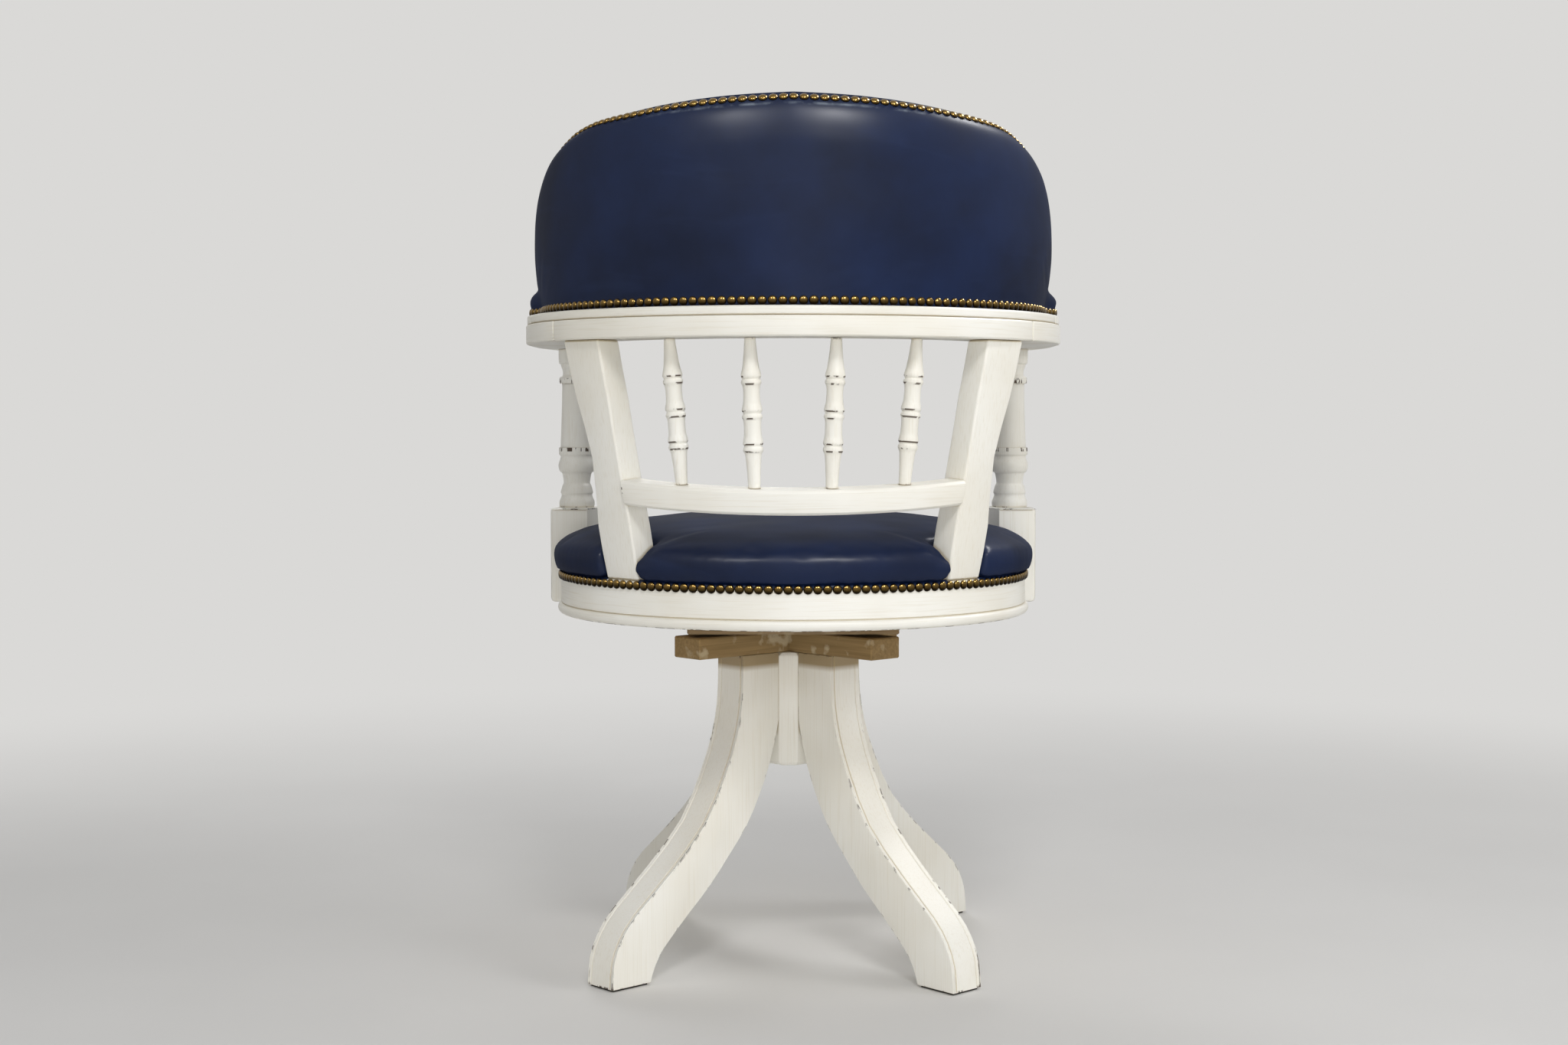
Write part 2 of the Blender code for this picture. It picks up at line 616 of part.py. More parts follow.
def make_seat():
    bead_top = RIM_BOTTOM + RIM_BEAD
    panel_seat = PANEL_TOP + GAP
    panel_edge = PANEL_R + GAP
    rim = turned("seat_rim", [
        (RIM_R - 0.002, RIM_TOP), (RIM_R, RIM_TOP - 0.002), (RIM_R, bead_top + 0.0020),
        (RIM_R - 0.0015, bead_top), (RIM_R + 0.0010, bead_top - 0.0006),
        (RIM_R + RIM_LIP, bead_top - 0.0040), (RIM_R + RIM_LIP, RIM_BOTTOM + 0.0040),
        (RIM_R + 0.0010, RIM_BOTTOM + 0.0006), (RIM_R - 0.002, RIM_BOTTOM),
        (panel_edge, RIM_BOTTOM), (panel_edge, panel_seat),
        (RIM_INNER_R, panel_seat), (RIM_INNER_R, RIM_TOP)], 48, PAINT, SEAT, closed=True)
    turned("seat_panel", solid_profile([(PANEL_R, PANEL_TOP), (PANEL_R, RIM_BOTTOM)]), 48, PLYWOOD, SEAT)

    sit = RIM_TOP + GAP
    inside = RIM_INNER_R - SOFT_GAP
    bulge = CUSHION_BULGE
    crown = sit + CUSHION_CROWN
    widest = sit + CUSHION_WIDEST
    cushion = turned("seat_cushion", [
        (0.0, crown), (0.075, crown - 0.0012), (0.130, crown - 0.0055), (0.180, crown - 0.0125),
        (bulge - 0.055, crown - 0.0220), (bulge - 0.028, widest + 0.0220), (bulge - 0.010, widest + 0.0130),
        (bulge - 0.0015, widest + 0.0055), (bulge, widest), (bulge - 0.0010, widest - 0.0080),
        (bulge - 0.0040, widest - 0.0145), (CUSHION_EDGE + 0.0035, sit + 0.0040), (CUSHION_EDGE, sit),
        (inside, sit), (inside, PANEL_TOP + GAP), (0.0, PANEL_TOP + GAP)], 40, LEATHER, SEAT)

    for side, word in ((1, "left"), (-1, "right")):
        shares = [share for share, _, _ in POST_EDGES]
        post = loft("rear_post_" + word, [flip(post_section(s), side) for s in shares], PAINT, SEAT)
        bevel(post, REAR_POST_ROUND, angle=30)
        grown = loft("cut_rear_post_" + word, [flip(post_section(s, SOFT_GAP, 0.05), side) for s in shares],
                     None, SEAT)
        grown.location.z = -SOFT_GAP
        foot, head = post_centre(0, side), post_centre(1, side)
        foot_pin = rod("join_foot_pin_" + word, PIN_R, foot + Vector((0, 0, PIN_LONG)),
                       foot - Vector((0, 0, PIN_LONG)), None, SEAT)
        head_pin = rod("join_head_pin_" + word, PIN_R, head - Vector((0, 0, PIN_LONG)),
                       head + Vector((0, 0, PIN_LONG)), None, SEAT)
        join(post, foot_pin, head_pin)
        foot_hole = rod("cut_foot_hole_" + word, PIN_R + GAP, foot + Vector((0, 0, PIN_LONG)),
                        foot - Vector((0, 0, PIN_LONG + GAP)), None, SEAT)
        cut(rim, foot_hole)
        cut(cushion, grown)
        make_front_post(side, word, rim, cushion)

    band_low, band_high = RIM_TOP - NAIL_BAND, RIM_TOP - 0.0002
    band = [(GAP, band_low), (GAP + NAIL_STAND, band_low), (GAP + NAIL_STAND, band_high), (GAP, band_high)]
    block_in = FRONT_POST_X - FRONT_BLOCK / 2
    ring_r = RIM_R + NAIL_STAND
    rear_end = 90 + math.degrees(math.asin((FRONT_POST_Y - FRONT_BLOCK / 2) / ring_r)) - 0.6
    front_end = 90 + math.degrees(math.acos(block_in / ring_r)) + 1.2
    swept("seat_nails_back", band, arc_outside(RIM_R, -rear_end, rear_end, 40), BRASS, SEAT)
    swept("seat_nails_front", band, arc_outside(RIM_R, front_end, 360 - front_end, 24), BRASS, SEAT)


def arc(radius, start, end, steps):
    """Points of (x, y) on a circle round the axis, by the angle from the back."""
    return [tuple(polar(radius, start + (end - start) * i / steps))[:2] for i in range(steps + 1)]


def arc_outside(radius, start, end, steps):
    """Like arc, with its straight runs just touching the circle from outside."""
    half_step = math.radians((end - start) / steps / 2)
    return arc(radius / math.cos(half_step), start, end, steps)


def make_front_post(side, word, rim, cushion):
    block_top = RIM_BOTTOM + FRONT_BLOCK_TALL
    at = (side * FRONT_POST_X, -FRONT_POST_Y, 0.0)
    turning = RAIL_UNDER - GAP - block_top
    tallest = FRONT_TURNING[-1][0]
    outside = [(radius, block_top + up * turning / tallest) for up, radius in reversed(FRONT_TURNING)]
    pin = [(PIN_R, outside[0][1] + PIN_LONG), (PIN_R, outside[0][1])]
    post = turned("front_post_" + word, solid_profile(pin + outside + [(FRONT_TURNING[0][1], block_top - 0.01)]),
                  14, PAINT, SEAT)
    post.location = at
    block = box("join_block_" + word, (FRONT_BLOCK, FRONT_BLOCK, FRONT_BLOCK_TALL),
                (at[0], at[1], RIM_BOTTOM + FRONT_BLOCK_TALL / 2), None, SEAT)
    bevel(block, FRONT_BLOCK_ROUND, segments=2)
    join(post, block)
    notch = turned("cut_block_notch_" + word, solid_profile([
        (RIM_R + GAP, block_top + 0.01), (RIM_R + GAP, RIM_BOTTOM + RIM_BEAD + 0.0022),
        (RIM_R + RIM_LIP + GAP, RIM_BOTTOM + RIM_BEAD), (RIM_R + RIM_LIP + GAP, RIM_BOTTOM - 0.01)]),
        48, None, SEAT)
    cut(post, notch)
    room = box("cut_block_room_" + word, (FRONT_BLOCK + 2 * SOFT_GAP, FRONT_BLOCK + 2 * SOFT_GAP, FRONT_BLOCK_TALL),
               (at[0], at[1], RIM_TOP + FRONT_BLOCK_TALL / 2 - 0.01), None, SEAT)
    cut(cushion, room)


def rail_point(along, side=1):
    """A place on the rail's middle line and the outward direction there.

    along is measured from the back, in metres, and side is +1 or -1.
    """
    quarter = RAIL_MID_R * math.pi / 2
    bend = ARM_BEND_R - RAIL_WIDE / 2
    if along <= quarter:
        angle = along / RAIL_MID_R
        place = Vector((RAIL_MID_R * math.sin(angle), RAIL_MID_R * math.cos(angle), 0))
        outward = Vector((math.sin(angle), math.cos(angle), 0))
    elif along <= quarter + ARM_STRAIGHT:
        place = Vector((RAIL_MID_R, quarter - along, 0))
        outward = Vector((1, 0, 0))
    else:
        angle = (along - quarter - ARM_STRAIGHT) / bend
        outward = Vector((math.cos(angle), -math.sin(angle), 0))
        place = Vector((RAIL_MID_R - bend, -ARM_STRAIGHT, 0)) + bend * outward
    return Vector((side * place.x, place.y, 0)), Vector((side * outward.x, outward.y, 0))


def arm_end():
    """The length along the rail's middle line at which the rounded tip begins."""
    bend = ARM_BEND_R - RAIL_WIDE / 2
    straight_tip = ARM_TIP_Y - RAIL_WIDE / 2
    return RAIL_MID_R * math.pi / 2 + ARM_STRAIGHT + bend * math.asin((straight_tip - ARM_STRAIGHT) / bend)


def stations(start, end, spacing=0.030):
    count = max(2, math.ceil((end - start) / spacing))
    return [start + (end - start) * i / count for i in range(count + 1)]


def rail_outline(start, end, half, side, tip):
    """The plan of a stretch of rail, half wide on both sides of the middle line."""
    places = [rail_point(along, side) for along in stations(start, end)]
    outer = [place + outward * half for place, outward in places]
    inner = [place - outward * half for place, outward in places]
    end_place, end_outward = places[-1]
    forward = Vector((side * end_outward.y, -side * end_outward.x, 0))
    rounded = []
    if tip:
        for step in range(1, 12):
            angle = math.pi * step / 12
            rounded.append(end_place + half * (math.cos(angle) * end_outward + math.sin(angle) * forward))
    return [(point.x, point.y) for point in outer + rounded + inner[::-1]]


def make_rail(level, names, joint_degrees, inset, bottom, top, edge_round):
    half = RAIL_WIDE / 2 - inset
    joint = math.radians(joint_degrees) * RAIL_MID_R
    back_name, arm_name = names
    right_half = rail_outline(0.0, joint - GAP / 2, half, 1, False)
    count = len(right_half) // 2
    left_half = [(-x, y) for x, y in right_half]
    outline = (list(reversed(left_half[1:count])) + right_half[:-1] + [right_half[-1]]
               + list(reversed(left_half[count:-1])))
    back = board(back_name, outline, bottom, top, PAINT, SEAT)
    bevel(back, edge_round, angle=50)
    pieces = [back]
    for side, word in ((1, "left"), (-1, "right")):
        arm = board(arm_name + "_" + word, rail_outline(joint + GAP / 2, arm_end(), half, side, True),
                    bottom, top, PAINT, SEAT)
        bevel(arm, edge_round, angle=50)
        pieces.append(arm)
    return pieces


def spindle_ends(index):
    place = index - (SPINDLE_COUNT - 1) / 2
    foot = polar(STRETCHER_R - STRETCHER_DEEP / 2, place * SPINDLE_FOOT_STEP)
    tilt = math.radians(STRETCHER_TILT)
    foot.z = (RIM_TOP + STRETCHER_RISE + STRETCHER_TALL / 2 / math.cos(tilt)
              + (STRETCHER_R - foot.y) * math.tan(tilt))
    head = polar(RAIL_MID_R, place * SPINDLE_HEAD_STEP, RAIL_UNDER - GAP)
    return foot, head


def make_back_rest():
    rail_back, rail_left, rail_right = make_rail("rail", ("rail_back", "rail_arm"), RAIL_JOINT, 0.0,
                                                 RAIL_UNDER, RAIL_TOP, RAIL_ROUND)
    make_rail("cap", ("cap_back", "cap_arm"), CAP_JOINT, CAP_INSET, CAP_BOTTOM, CAP_TOP, CAP_THICK / 4)

    half_deep, half_tall = STRETCHER_DEEP / 2, STRETCHER_TALL / 2
    section = [(-half_deep, -half_tall), (half_deep, -half_tall), (half_deep, half_tall), (-half_deep, half_tall)]
    stretcher = swept("back_stretcher", section,
                      arc(STRETCHER_R - half_deep, -STRETCHER_SPAN, STRETCHER_SPAN, 18), PAINT, SEAT)
    stretcher.data.transform(Matrix.Translation((0, STRETCHER_R, RIM_TOP + STRETCHER_RISE))
                             @ Matrix.Rotation(-math.radians(STRETCHER_TILT), 4, "X")
                             @ Matrix.Translation((0, -STRETCHER_R, 0)))
    bevel(stretcher, STRETCHER_ROUND, angle=50)

    for index in range(SPINDLE_COUNT):
        number = str(index + 1)
        foot, head = spindle_ends(index)
        run = head - foot
        direction = run.normalized()
        tallest = SPINDLE_TURNING[-1][0]
        shoulder = run.length - SPINDLE_EASE
        outside = [(radius, up * shoulder / tallest) for up, radius in reversed(SPINDLE_TURNING)]
        top_pin = [(SPINDLE_PIN_R, run.length + SPINDLE_PIN_LONG), (SPINDLE_PIN_R, shoulder)]
        bottom_pin = [(SPINDLE_PIN_R, 0.0), (SPINDLE_PIN_R, -SPINDLE_PIN_LONG)]
        spindle = turned("back_spindle_" + number, solid_profile(top_pin + outside + bottom_pin), 10, PAINT,
                         SEAT)
        spindle.location = foot
        spindle.rotation_euler = run.to_track_quat("Z", "Y").to_euler()
        hole_out = direction * (SPINDLE_PIN_LONG + GAP)
        cut(stretcher, rod("cut_spindle_foot_" + number, SPINDLE_PIN_R + GAP, foot - hole_out,
                           foot + direction * 0.01, None, SEAT),
            rod("cut_spindle_seat_" + number, 0.0066, foot - direction * GAP * 3, foot + direction * 0.01,
                None, SEAT))
        cut(rail_back, rod("cut_spindle_head_" + number, SPINDLE_PIN_R + GAP, head - direction * 0.01,
                           head + hole_out, None, SEAT))

    for side, word, arm in ((1, "left", rail_left), (-1, "right", rail_right)):
        wedge = loft("cut_stretcher_end_" + word,
                     [flip(wide_post_section(s), side) for s, _, _ in POST_EDGES], None, SEAT)
        cut(stretcher, wedge)
        head = post_centre(1, side)
        up = Vector((0, 0, PIN_LONG + GAP))
        hole = rod("cut_head_hole_" + word, PIN_R + GAP, head - up, head + up, None, SEAT)
        cut(rail_back, hole)
        cut(arm, hole)
        place = Vector((side * FRONT_POST_X, -FRONT_POST_Y, RAIL_UNDER))
        cut(arm, rod("cut_front_pin_" + word, PIN_R + GAP, place - up, place + up, None, SEAT))


def wide_post_section(share):
    """A wedge that starts just inside a rear post and takes all that lies beyond it."""
    turn = math.radians(REAR_POST_TURN)
    normal = Vector((math.sin(turn), math.cos(turn), 0))
    along = Vector((math.cos(turn), -math.sin(turn), 0))
    height = RIM_TOP + share * (RAIL_UNDER - RIM_TOP)
    inner = smooth_value(POST_EDGES, share, 1) - GAP
    corners = ((0.40, inner), (0.40, 0.25), (0.15, 0.25), (0.15, inner))
    return [normal * out + along * across + Vector((0, 0, height)) for out, across in corners]


def back_rise(along):
    """Height of the back's top edge above the cap board."""
    share = smooth_value(BACK_TOP_LINE, abs(along) / WING_LENGTH)
    return WING_RISE + (BACK_RISE - WING_RISE) * share


def layer_sections(outline_at, count=18):
    """Sections of an upholstery layer, from the right wing round the back to the left wing."""
    sections = []
    for step in range(-count, count + 1):
        along = WING_LENGTH * step / count
        side = 1 if step >= 0 else -1
        place, outward = rail_point(abs(along), side)
        rise = back_rise(along)
        sections.append([place + outward * out + Vector((0, 0, PAD_BOTTOM + up * rise))
                         for out, up in outline_at(rise)])
    return sections


def make_back_upholstery():
    shell_out = SHELL_SET + SHELL_THICK / 2
    shell_in = SHELL_SET - SHELL_THICK / 2

    def shell(rise):
        return [(shell_out, 0.0), (shell_out, SHELL_TOP_SHARE), (shell_in, SHELL_TOP_SHARE), (shell_in, 0.0)]

    def outer(rise):
        lip = (NAIL_BAND + GAP) / rise
        start = [(shell_out + GAP, 0.0), (BACK_FOOT, 0.0), (BACK_FOOT, lip)]
        face = [(out, lip + up * (1 - lip)) for out, up in BACK_OUTER_FACE]
        ridge = [(SHELL_SET + GAP / 2, RIDGE_SHARE), (SHELL_SET + GAP / 2, SHELL_TOP_SHARE + GAP * 2 / rise),
                 (shell_out + GAP, SHELL_TOP_SHARE + GAP * 2 / rise)]
        return start + face + ridge

    def inner(rise):
        start = [(shell_in - GAP, SHELL_TOP_SHARE + GAP * 2 / rise),
                 (SHELL_SET - GAP / 2, SHELL_TOP_SHARE + GAP * 2 / rise), (SHELL_SET - GAP / 2, RIDGE_SHARE)]
        return start + list(BACK_INNER_FACE) + [(shell_in - GAP, 0.0)]

    loft("back_shell", layer_sections(shell), PLYWOOD, SEAT)
    loft("back_outer_panel", layer_sections(outer), LEATHER, SEAT)
    loft("back_cushion", layer_sections(inner), LEATHER, SEAT)

    def ridge_band(rise):
        lip = (NAIL_BAND + GAP) / rise
        low = lip + RIDGE_SHARE * (1 - lip) + GAP / rise
        high = low + NAIL_STAND / rise
        outer_edge = BACK_OUTER_FACE[-1][0]
        return [(outer_edge, low), (outer_edge, high), (outer_edge - NAIL_BAND / 2, high),
                (outer_edge - NAIL_BAND / 2, low)]

    def foot_band(rise):
        inner_edge = BACK_FOOT + GAP
        outer_edge = inner_edge + NAIL_STAND
        high = NAIL_BAND / rise
        return [(inner_edge, 0.0), (outer_edge, 0.0), (outer_edge, high), (inner_edge, high)]

    loft("ridge_nails", layer_sections(ridge_band), BRASS, SEAT)
    loft("back_nails", layer_sections(foot_band), BRASS, SEAT)


def make_arm_pads():
    half_in = RAIL_WIDE / 2 - ARM_PAD_IN
    half_out = RAIL_WIDE / 2 + ARM_PAD_OUT
    end = arm_end()
    start = WING_LENGTH + SOFT_GAP
    for side, word in ((1, "left"), (-1, "right")):
        sections = []
        tips = [(end + half_in * math.sin(math.radians(a)), math.cos(math.radians(a))) for a in (25, 50, 68, 82)]
        for along, width in [(s, 1.0) for s in stations(start, end, 0.03)] + tips:
            place, outward = rail_point(along, side)
            rise = ARM_PAD_RISE * (0.35 + 0.65 * width)
            section = []
            for across, up in ARM_PAD_SECTION:
                reach = half_out if across > 0 else half_in
                section.append(place + outward * across * reach * max(width, 0.12)
                               + Vector((0, 0, PAD_BOTTOM + up * rise)))
            sections.append(section)
        loft("arm_pad_" + word, sections, LEATHER, SEAT)


make_base()
make_swivel()
make_seat()
make_back_rest()
make_back_upholstery()
make_arm_pads()
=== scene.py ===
# %% [markdown]
# A captain's swivel armchair, painted off-white and covered in navy leather. The solids of the chair
# are already modelled and packed. They are loaded here as a fixed frame, and each piece is then given
# the shape and the finish that the eye expects.
import math
import random
from functools import partial

import bmesh
import bpy
from mathutils import Matrix, Vector, noise
from mathutils.bvhtree import BVHTree


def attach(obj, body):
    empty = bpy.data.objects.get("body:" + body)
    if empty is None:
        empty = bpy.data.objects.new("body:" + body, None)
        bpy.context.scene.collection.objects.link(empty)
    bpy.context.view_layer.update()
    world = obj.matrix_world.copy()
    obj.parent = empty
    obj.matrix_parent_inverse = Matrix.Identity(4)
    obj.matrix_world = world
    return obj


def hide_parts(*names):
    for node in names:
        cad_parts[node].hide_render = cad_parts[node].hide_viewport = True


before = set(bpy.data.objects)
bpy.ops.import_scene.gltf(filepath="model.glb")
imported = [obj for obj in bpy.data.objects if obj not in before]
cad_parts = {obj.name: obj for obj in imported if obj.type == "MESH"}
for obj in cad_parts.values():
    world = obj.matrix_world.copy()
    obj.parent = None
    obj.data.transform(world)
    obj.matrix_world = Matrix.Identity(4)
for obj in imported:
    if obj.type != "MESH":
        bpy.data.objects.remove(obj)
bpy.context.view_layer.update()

MM = 0.001

# %% [markdown]
# An operator in Blender acts on everything that is selected, and the loaded solids are all selected.
# So each step first selects only the piece that it works on.

# %% Selecting by hand and by rule
def only(*pieces):
    """Select these pieces and nothing else, with the first one active."""
    if bpy.context.object and bpy.context.object.mode != "OBJECT":
        bpy.ops.object.mode_set(mode="OBJECT")
    bpy.ops.object.select_all(action="DESELECT")
    for piece in pieces:
        piece.select_set(True)
    bpy.context.view_layer.objects.active = pieces[0]


def new_object(name, data):
    """Put a mesh, a lamp or a camera into the scene."""
    thing = bpy.data.objects.new(name, data)
    bpy.context.scene.collection.objects.link(thing)
    return thing


def edit(piece):
    """Open a piece in edit mode with all of it selected."""
    only(piece)
    bpy.ops.object.mode_set(mode="EDIT")
    bpy.ops.mesh.select_mode(type="VERT")
    bpy.ops.mesh.select_all(action="SELECT")


def pick_points(piece, wanted):
    """In edit mode, select the points that pass a rule."""
    mesh = bmesh.from_edit_mesh(piece.data)
    mesh.normal_update()
    bpy.ops.mesh.select_all(action="DESELECT")
    for point in mesh.verts:
        if wanted(point):
            point.select = True
    mesh.select_flush(True)
    bmesh.update_edit_mesh(piece.data)


def smooth_over(piece, degrees=35):
    """Shade a piece smooth, except over edges that turn more than this."""
    edit(piece)
    bpy.ops.mesh.faces_shade_smooth()
    bpy.ops.mesh.mark_sharp(clear=True)
    bpy.ops.mesh.select_mode(type="EDGE")
    bpy.ops.mesh.select_all(action="DESELECT")
    bpy.ops.mesh.edges_select_sharp(sharpness=math.radians(degrees))
    bpy.ops.mesh.mark_sharp()
    bpy.ops.mesh.select_mode(type="VERT")
    bpy.ops.object.mode_set(mode="OBJECT")


def apply_all(piece):
    only(piece)
    for modifier in list(piece.modifiers):
        bpy.ops.object.modifier_apply(modifier=modifier.name)


print("selection helpers ready")

# %% [markdown]
# The camera stands where the photographer stood: behind the chair, with a 50 mm lens. The chair's back
# fills the upper half of the picture, and the small sideways shift is the picture's own framing.

# %% Camera
SEAT_Y = -0.0145         # middle of the seat, seen from above
CAMERA_AWAY, CAMERA_HIGH, CAMERA_TILT = 2.53, 0.6207, 0.0483
SIDE_SHIFT, PHOTO_WIDE = -12, 2048       # in the photo's pixels
camera_data = bpy.data.cameras.new("camera")
camera_data.lens = 50
camera_data.sensor_width = 36
camera_data.shift_x = SIDE_SHIFT / PHOTO_WIDE
camera = new_object("camera", camera_data)
camera.location = (0.0, SEAT_Y + CAMERA_AWAY, CAMERA_HIGH)
camera.rotation_euler = (math.radians(90) - CAMERA_TILT, 0.0, math.pi)
bpy.context.scene.camera = camera
print("camera at", tuple(round(v, 3) for v in camera.location))

# %% [markdown]
# Every finish is built from nodes. One small function adds a node, sets it and links it, and another
# turns the hex colours of a paint card, which are sRGB, into the linear values that Blender counts in.

# %% Colour and node helpers
def colour(code):
    """A hex colour as linear red, green, blue and alpha."""
    values = [int(code[i:i + 2], 16) / 255 for i in (1, 3, 5)]
    return tuple(v / 12.92 if v <= 0.04045 else ((v + 0.055) / 1.055) ** 2.4 for v in values) + (1.0,)


# Which output is meant, where it isn't a node's first. A mix node mixes colours here.
MEANT = {"Mix": 2, "TexCoord": "Object", "Attribute": "Fac", "AmbientOcclusion": "AO",
         "NewGeometry": "Normal", "SeparateXYZ": "Z", "VectorMath": "Value",
         "LightPath": "Is Camera Ray"}

def add(tree, kind, settings=None, links=None):
    """Add a node and give an output. Settings are its inputs or options, and links feed inputs."""
    node = tree.nodes.new("ShaderNode" + kind)
    if kind == "Mix":
        node.data_type = "RGBA"
    for name, value in (settings or {}).items():
        if isinstance(name, int) or name in node.inputs:
            is_hex = isinstance(value, str) and value.startswith("#")
            node.inputs[name].default_value = colour(value) if is_hex else value
        else:
            setattr(node, name, value)
    for name, source in (links or {}).items():
        tree.links.new(source, node.inputs[name])
    return node.outputs[MEANT.get(kind, 0)] if node.outputs else node


def new_finish(name, **surface):
    """An empty finish, what puts a node in it, its shader and the place on the object."""
    finish = bpy.data.materials.new(name)
    finish.use_nodes = True
    tree = finish.node_tree
    shader = tree.nodes["Principled BSDF"]
    for socket, value in surface.items():
        shader.inputs[socket.replace("_", " ")].default_value = value
    put = partial(add, tree)
    return finish, put, shader, put("TexCoord")


def feed(node, **sources):
    """Link outputs to the sockets of a node, which is the last one of its row."""
    for socket, source in sources.items():
        node.id_data.links.new(source, node.inputs[socket.replace("_", " ")])


print("cream is", [round(v, 3) for v in colour("#F1EDE0")])

# %% [markdown]
# The wood is painted with a chalky off-white and rubbed back. Three things tell the eye that it is old
# paint: faint brush marks along the piece, a beige glaze that stays in the grooves, and dark wood that
# shows where an edge has been rubbed. Cycles can look for near surfaces from a point. Looking outward
# it finds grooves, and also other parts close by, so the beige is partly glaze and partly painted
# shade beside those parts. Looking inward it finds edges, so the wear finds its own places.

# %% Chalk paint, rubbed back and glazed, with painted shade
def chalk_paint(name, along, bare_and_shadowed_above=None):
    """along: brush marks to a metre on each axis. bare_and_shadowed_above: where the colour turns
    brown, as unpainted wood and painted shadow.
    """
    finish, put, shader, place = new_finish(name, IOR=1.5)
    stretched = put("Mapping", {"Scale": along}, {"Vector": place})
    marks = put("TexNoise", {"Scale": 1.0, "Detail": 3.0}, {"Vector": stretched})
    clouds = put("TexNoise", {"Scale": 9.0, "Detail": 2.0}, {"Vector": place})
    soft = put("MapRange", {"From Min": 0.35, "From Max": 0.70}, {"Value": clouds})
    base = put("Mix", {6: "#F3F1E9", 7: "#EBE7DB"}, {0: soft})
    streak = put("MapRange", {"From Min": 0.52, "From Max": 0.75, "To Max": 0.35}, {"Value": marks})
    brushed = put("Mix", {7: "#D9D0BA"}, {0: streak, 6: base})
    # Above this height the colour turns brown: partly unpainted wood and partly painted shadow of the
    # cross.
    if bare_and_shadowed_above:
        height = put("SeparateXYZ", None, {0: place})
        bare_and_shadow = put("MapRange", {"From Min": bare_and_shadowed_above - 3 * MM, "From Max": bare_and_shadowed_above + 4 * MM,
                                "To Max": 0.92}, {"Value": height})
        brushed = put("Mix", {7: "#98825A"}, {0: bare_and_shadow, 6: brushed})
    # The beige darkening near other surfaces is partly glaze in grooves and partly painted shade beside
    # other parts.
    shade_and_grooves = put("AmbientOcclusion", {"samples": 8, "Distance": 5 * MM})
    glaze_and_painted_shade = put("MapRange", {"From Min": 0.78, "From Max": 0.42, "To Max": 0.68}, {"Value": shade_and_grooves})
    glazed_and_shaded = put("Mix", {7: "#BCAB86"}, {0: glaze_and_painted_shade, 6: brushed})
    edge = put("AmbientOcclusion",
               {"samples": 8, "only_local": True, "inside": True, "Distance": 4 * MM})
    near_edge = put("MapRange", {"From Min": 0.73, "From Max": 0.60}, {"Value": edge})
    rings = put("Attribute", {"attribute_name": "rubbed"})
    dashes = [18.0 if count < 100 else 120.0 for count in along]
    long_way = put("Mapping", {"Scale": dashes}, {"Vector": place})
    patches = put("TexNoise", {"Scale": 1.0, "Detail": 4.0, "Roughness": 0.6}, {"Vector": long_way})
    worn_here = put("MapRange", {"From Min": 0.560, "From Max": 0.590}, {"Value": patches})
    edges = put("Math", {"operation": "MULTIPLY"}, {0: near_edge, 1: worn_here})
    arcs = put("TexNoise", {"Scale": 95.0, "Detail": 3.0}, {"Vector": place})
    arc_here = put("MapRange", {"From Min": 0.49, "From Max": 0.53}, {"Value": arcs})
    on_rings = put("Math", {"operation": "MULTIPLY"}, {0: rings, 1: arc_here})
    worn = put("Math", {"operation": "MAXIMUM"}, {0: edges, 1: on_rings})
    shown = put("Mix", {7: "#4B3B2C"}, {0: worn, 6: glazed_and_shaded})
    rough = put("MapRange", {"To Min": 0.42, "To Max": 0.60}, {"Value": marks})
    bump = put("Bump", {"Strength": 0.12, "Distance": 0.3 * MM}, {"Height": marks})
    feed(shader, Base_Color=shown, Roughness=rough, Normal=bump)
    return finish


# A brush leaves marks about 1.5 mm apart and some 60 mm long.
level_paint = chalk_paint("chalk_paint_brushed_level", (16.0, 16.0, 650.0))
upright_paint = chalk_paint("chalk_paint_brushed_upright", (650.0, 650.0, 14.0))
# The tops of the legs, right under the cross, are brown: unpainted wood, with the cross's shadow
# painted in.
leg_paint = chalk_paint("chalk_paint_brushed_legs", (650.0, 650.0, 14.0), bare_and_shadowed_above=0.336)
print("paint:", level_paint.name, upright_paint.name, leg_paint.name)

# %% [markdown]
# The cover is smooth, finished cowhide in navy. Its pores are finer than a picture of the whole chair
# can show, so the grain is drawn at about 1.5 mm. What does show is slow change: darker and lighter
# clouds from wear, long faint creases, and a satin face that spreads a lamp into a broad soft glow.

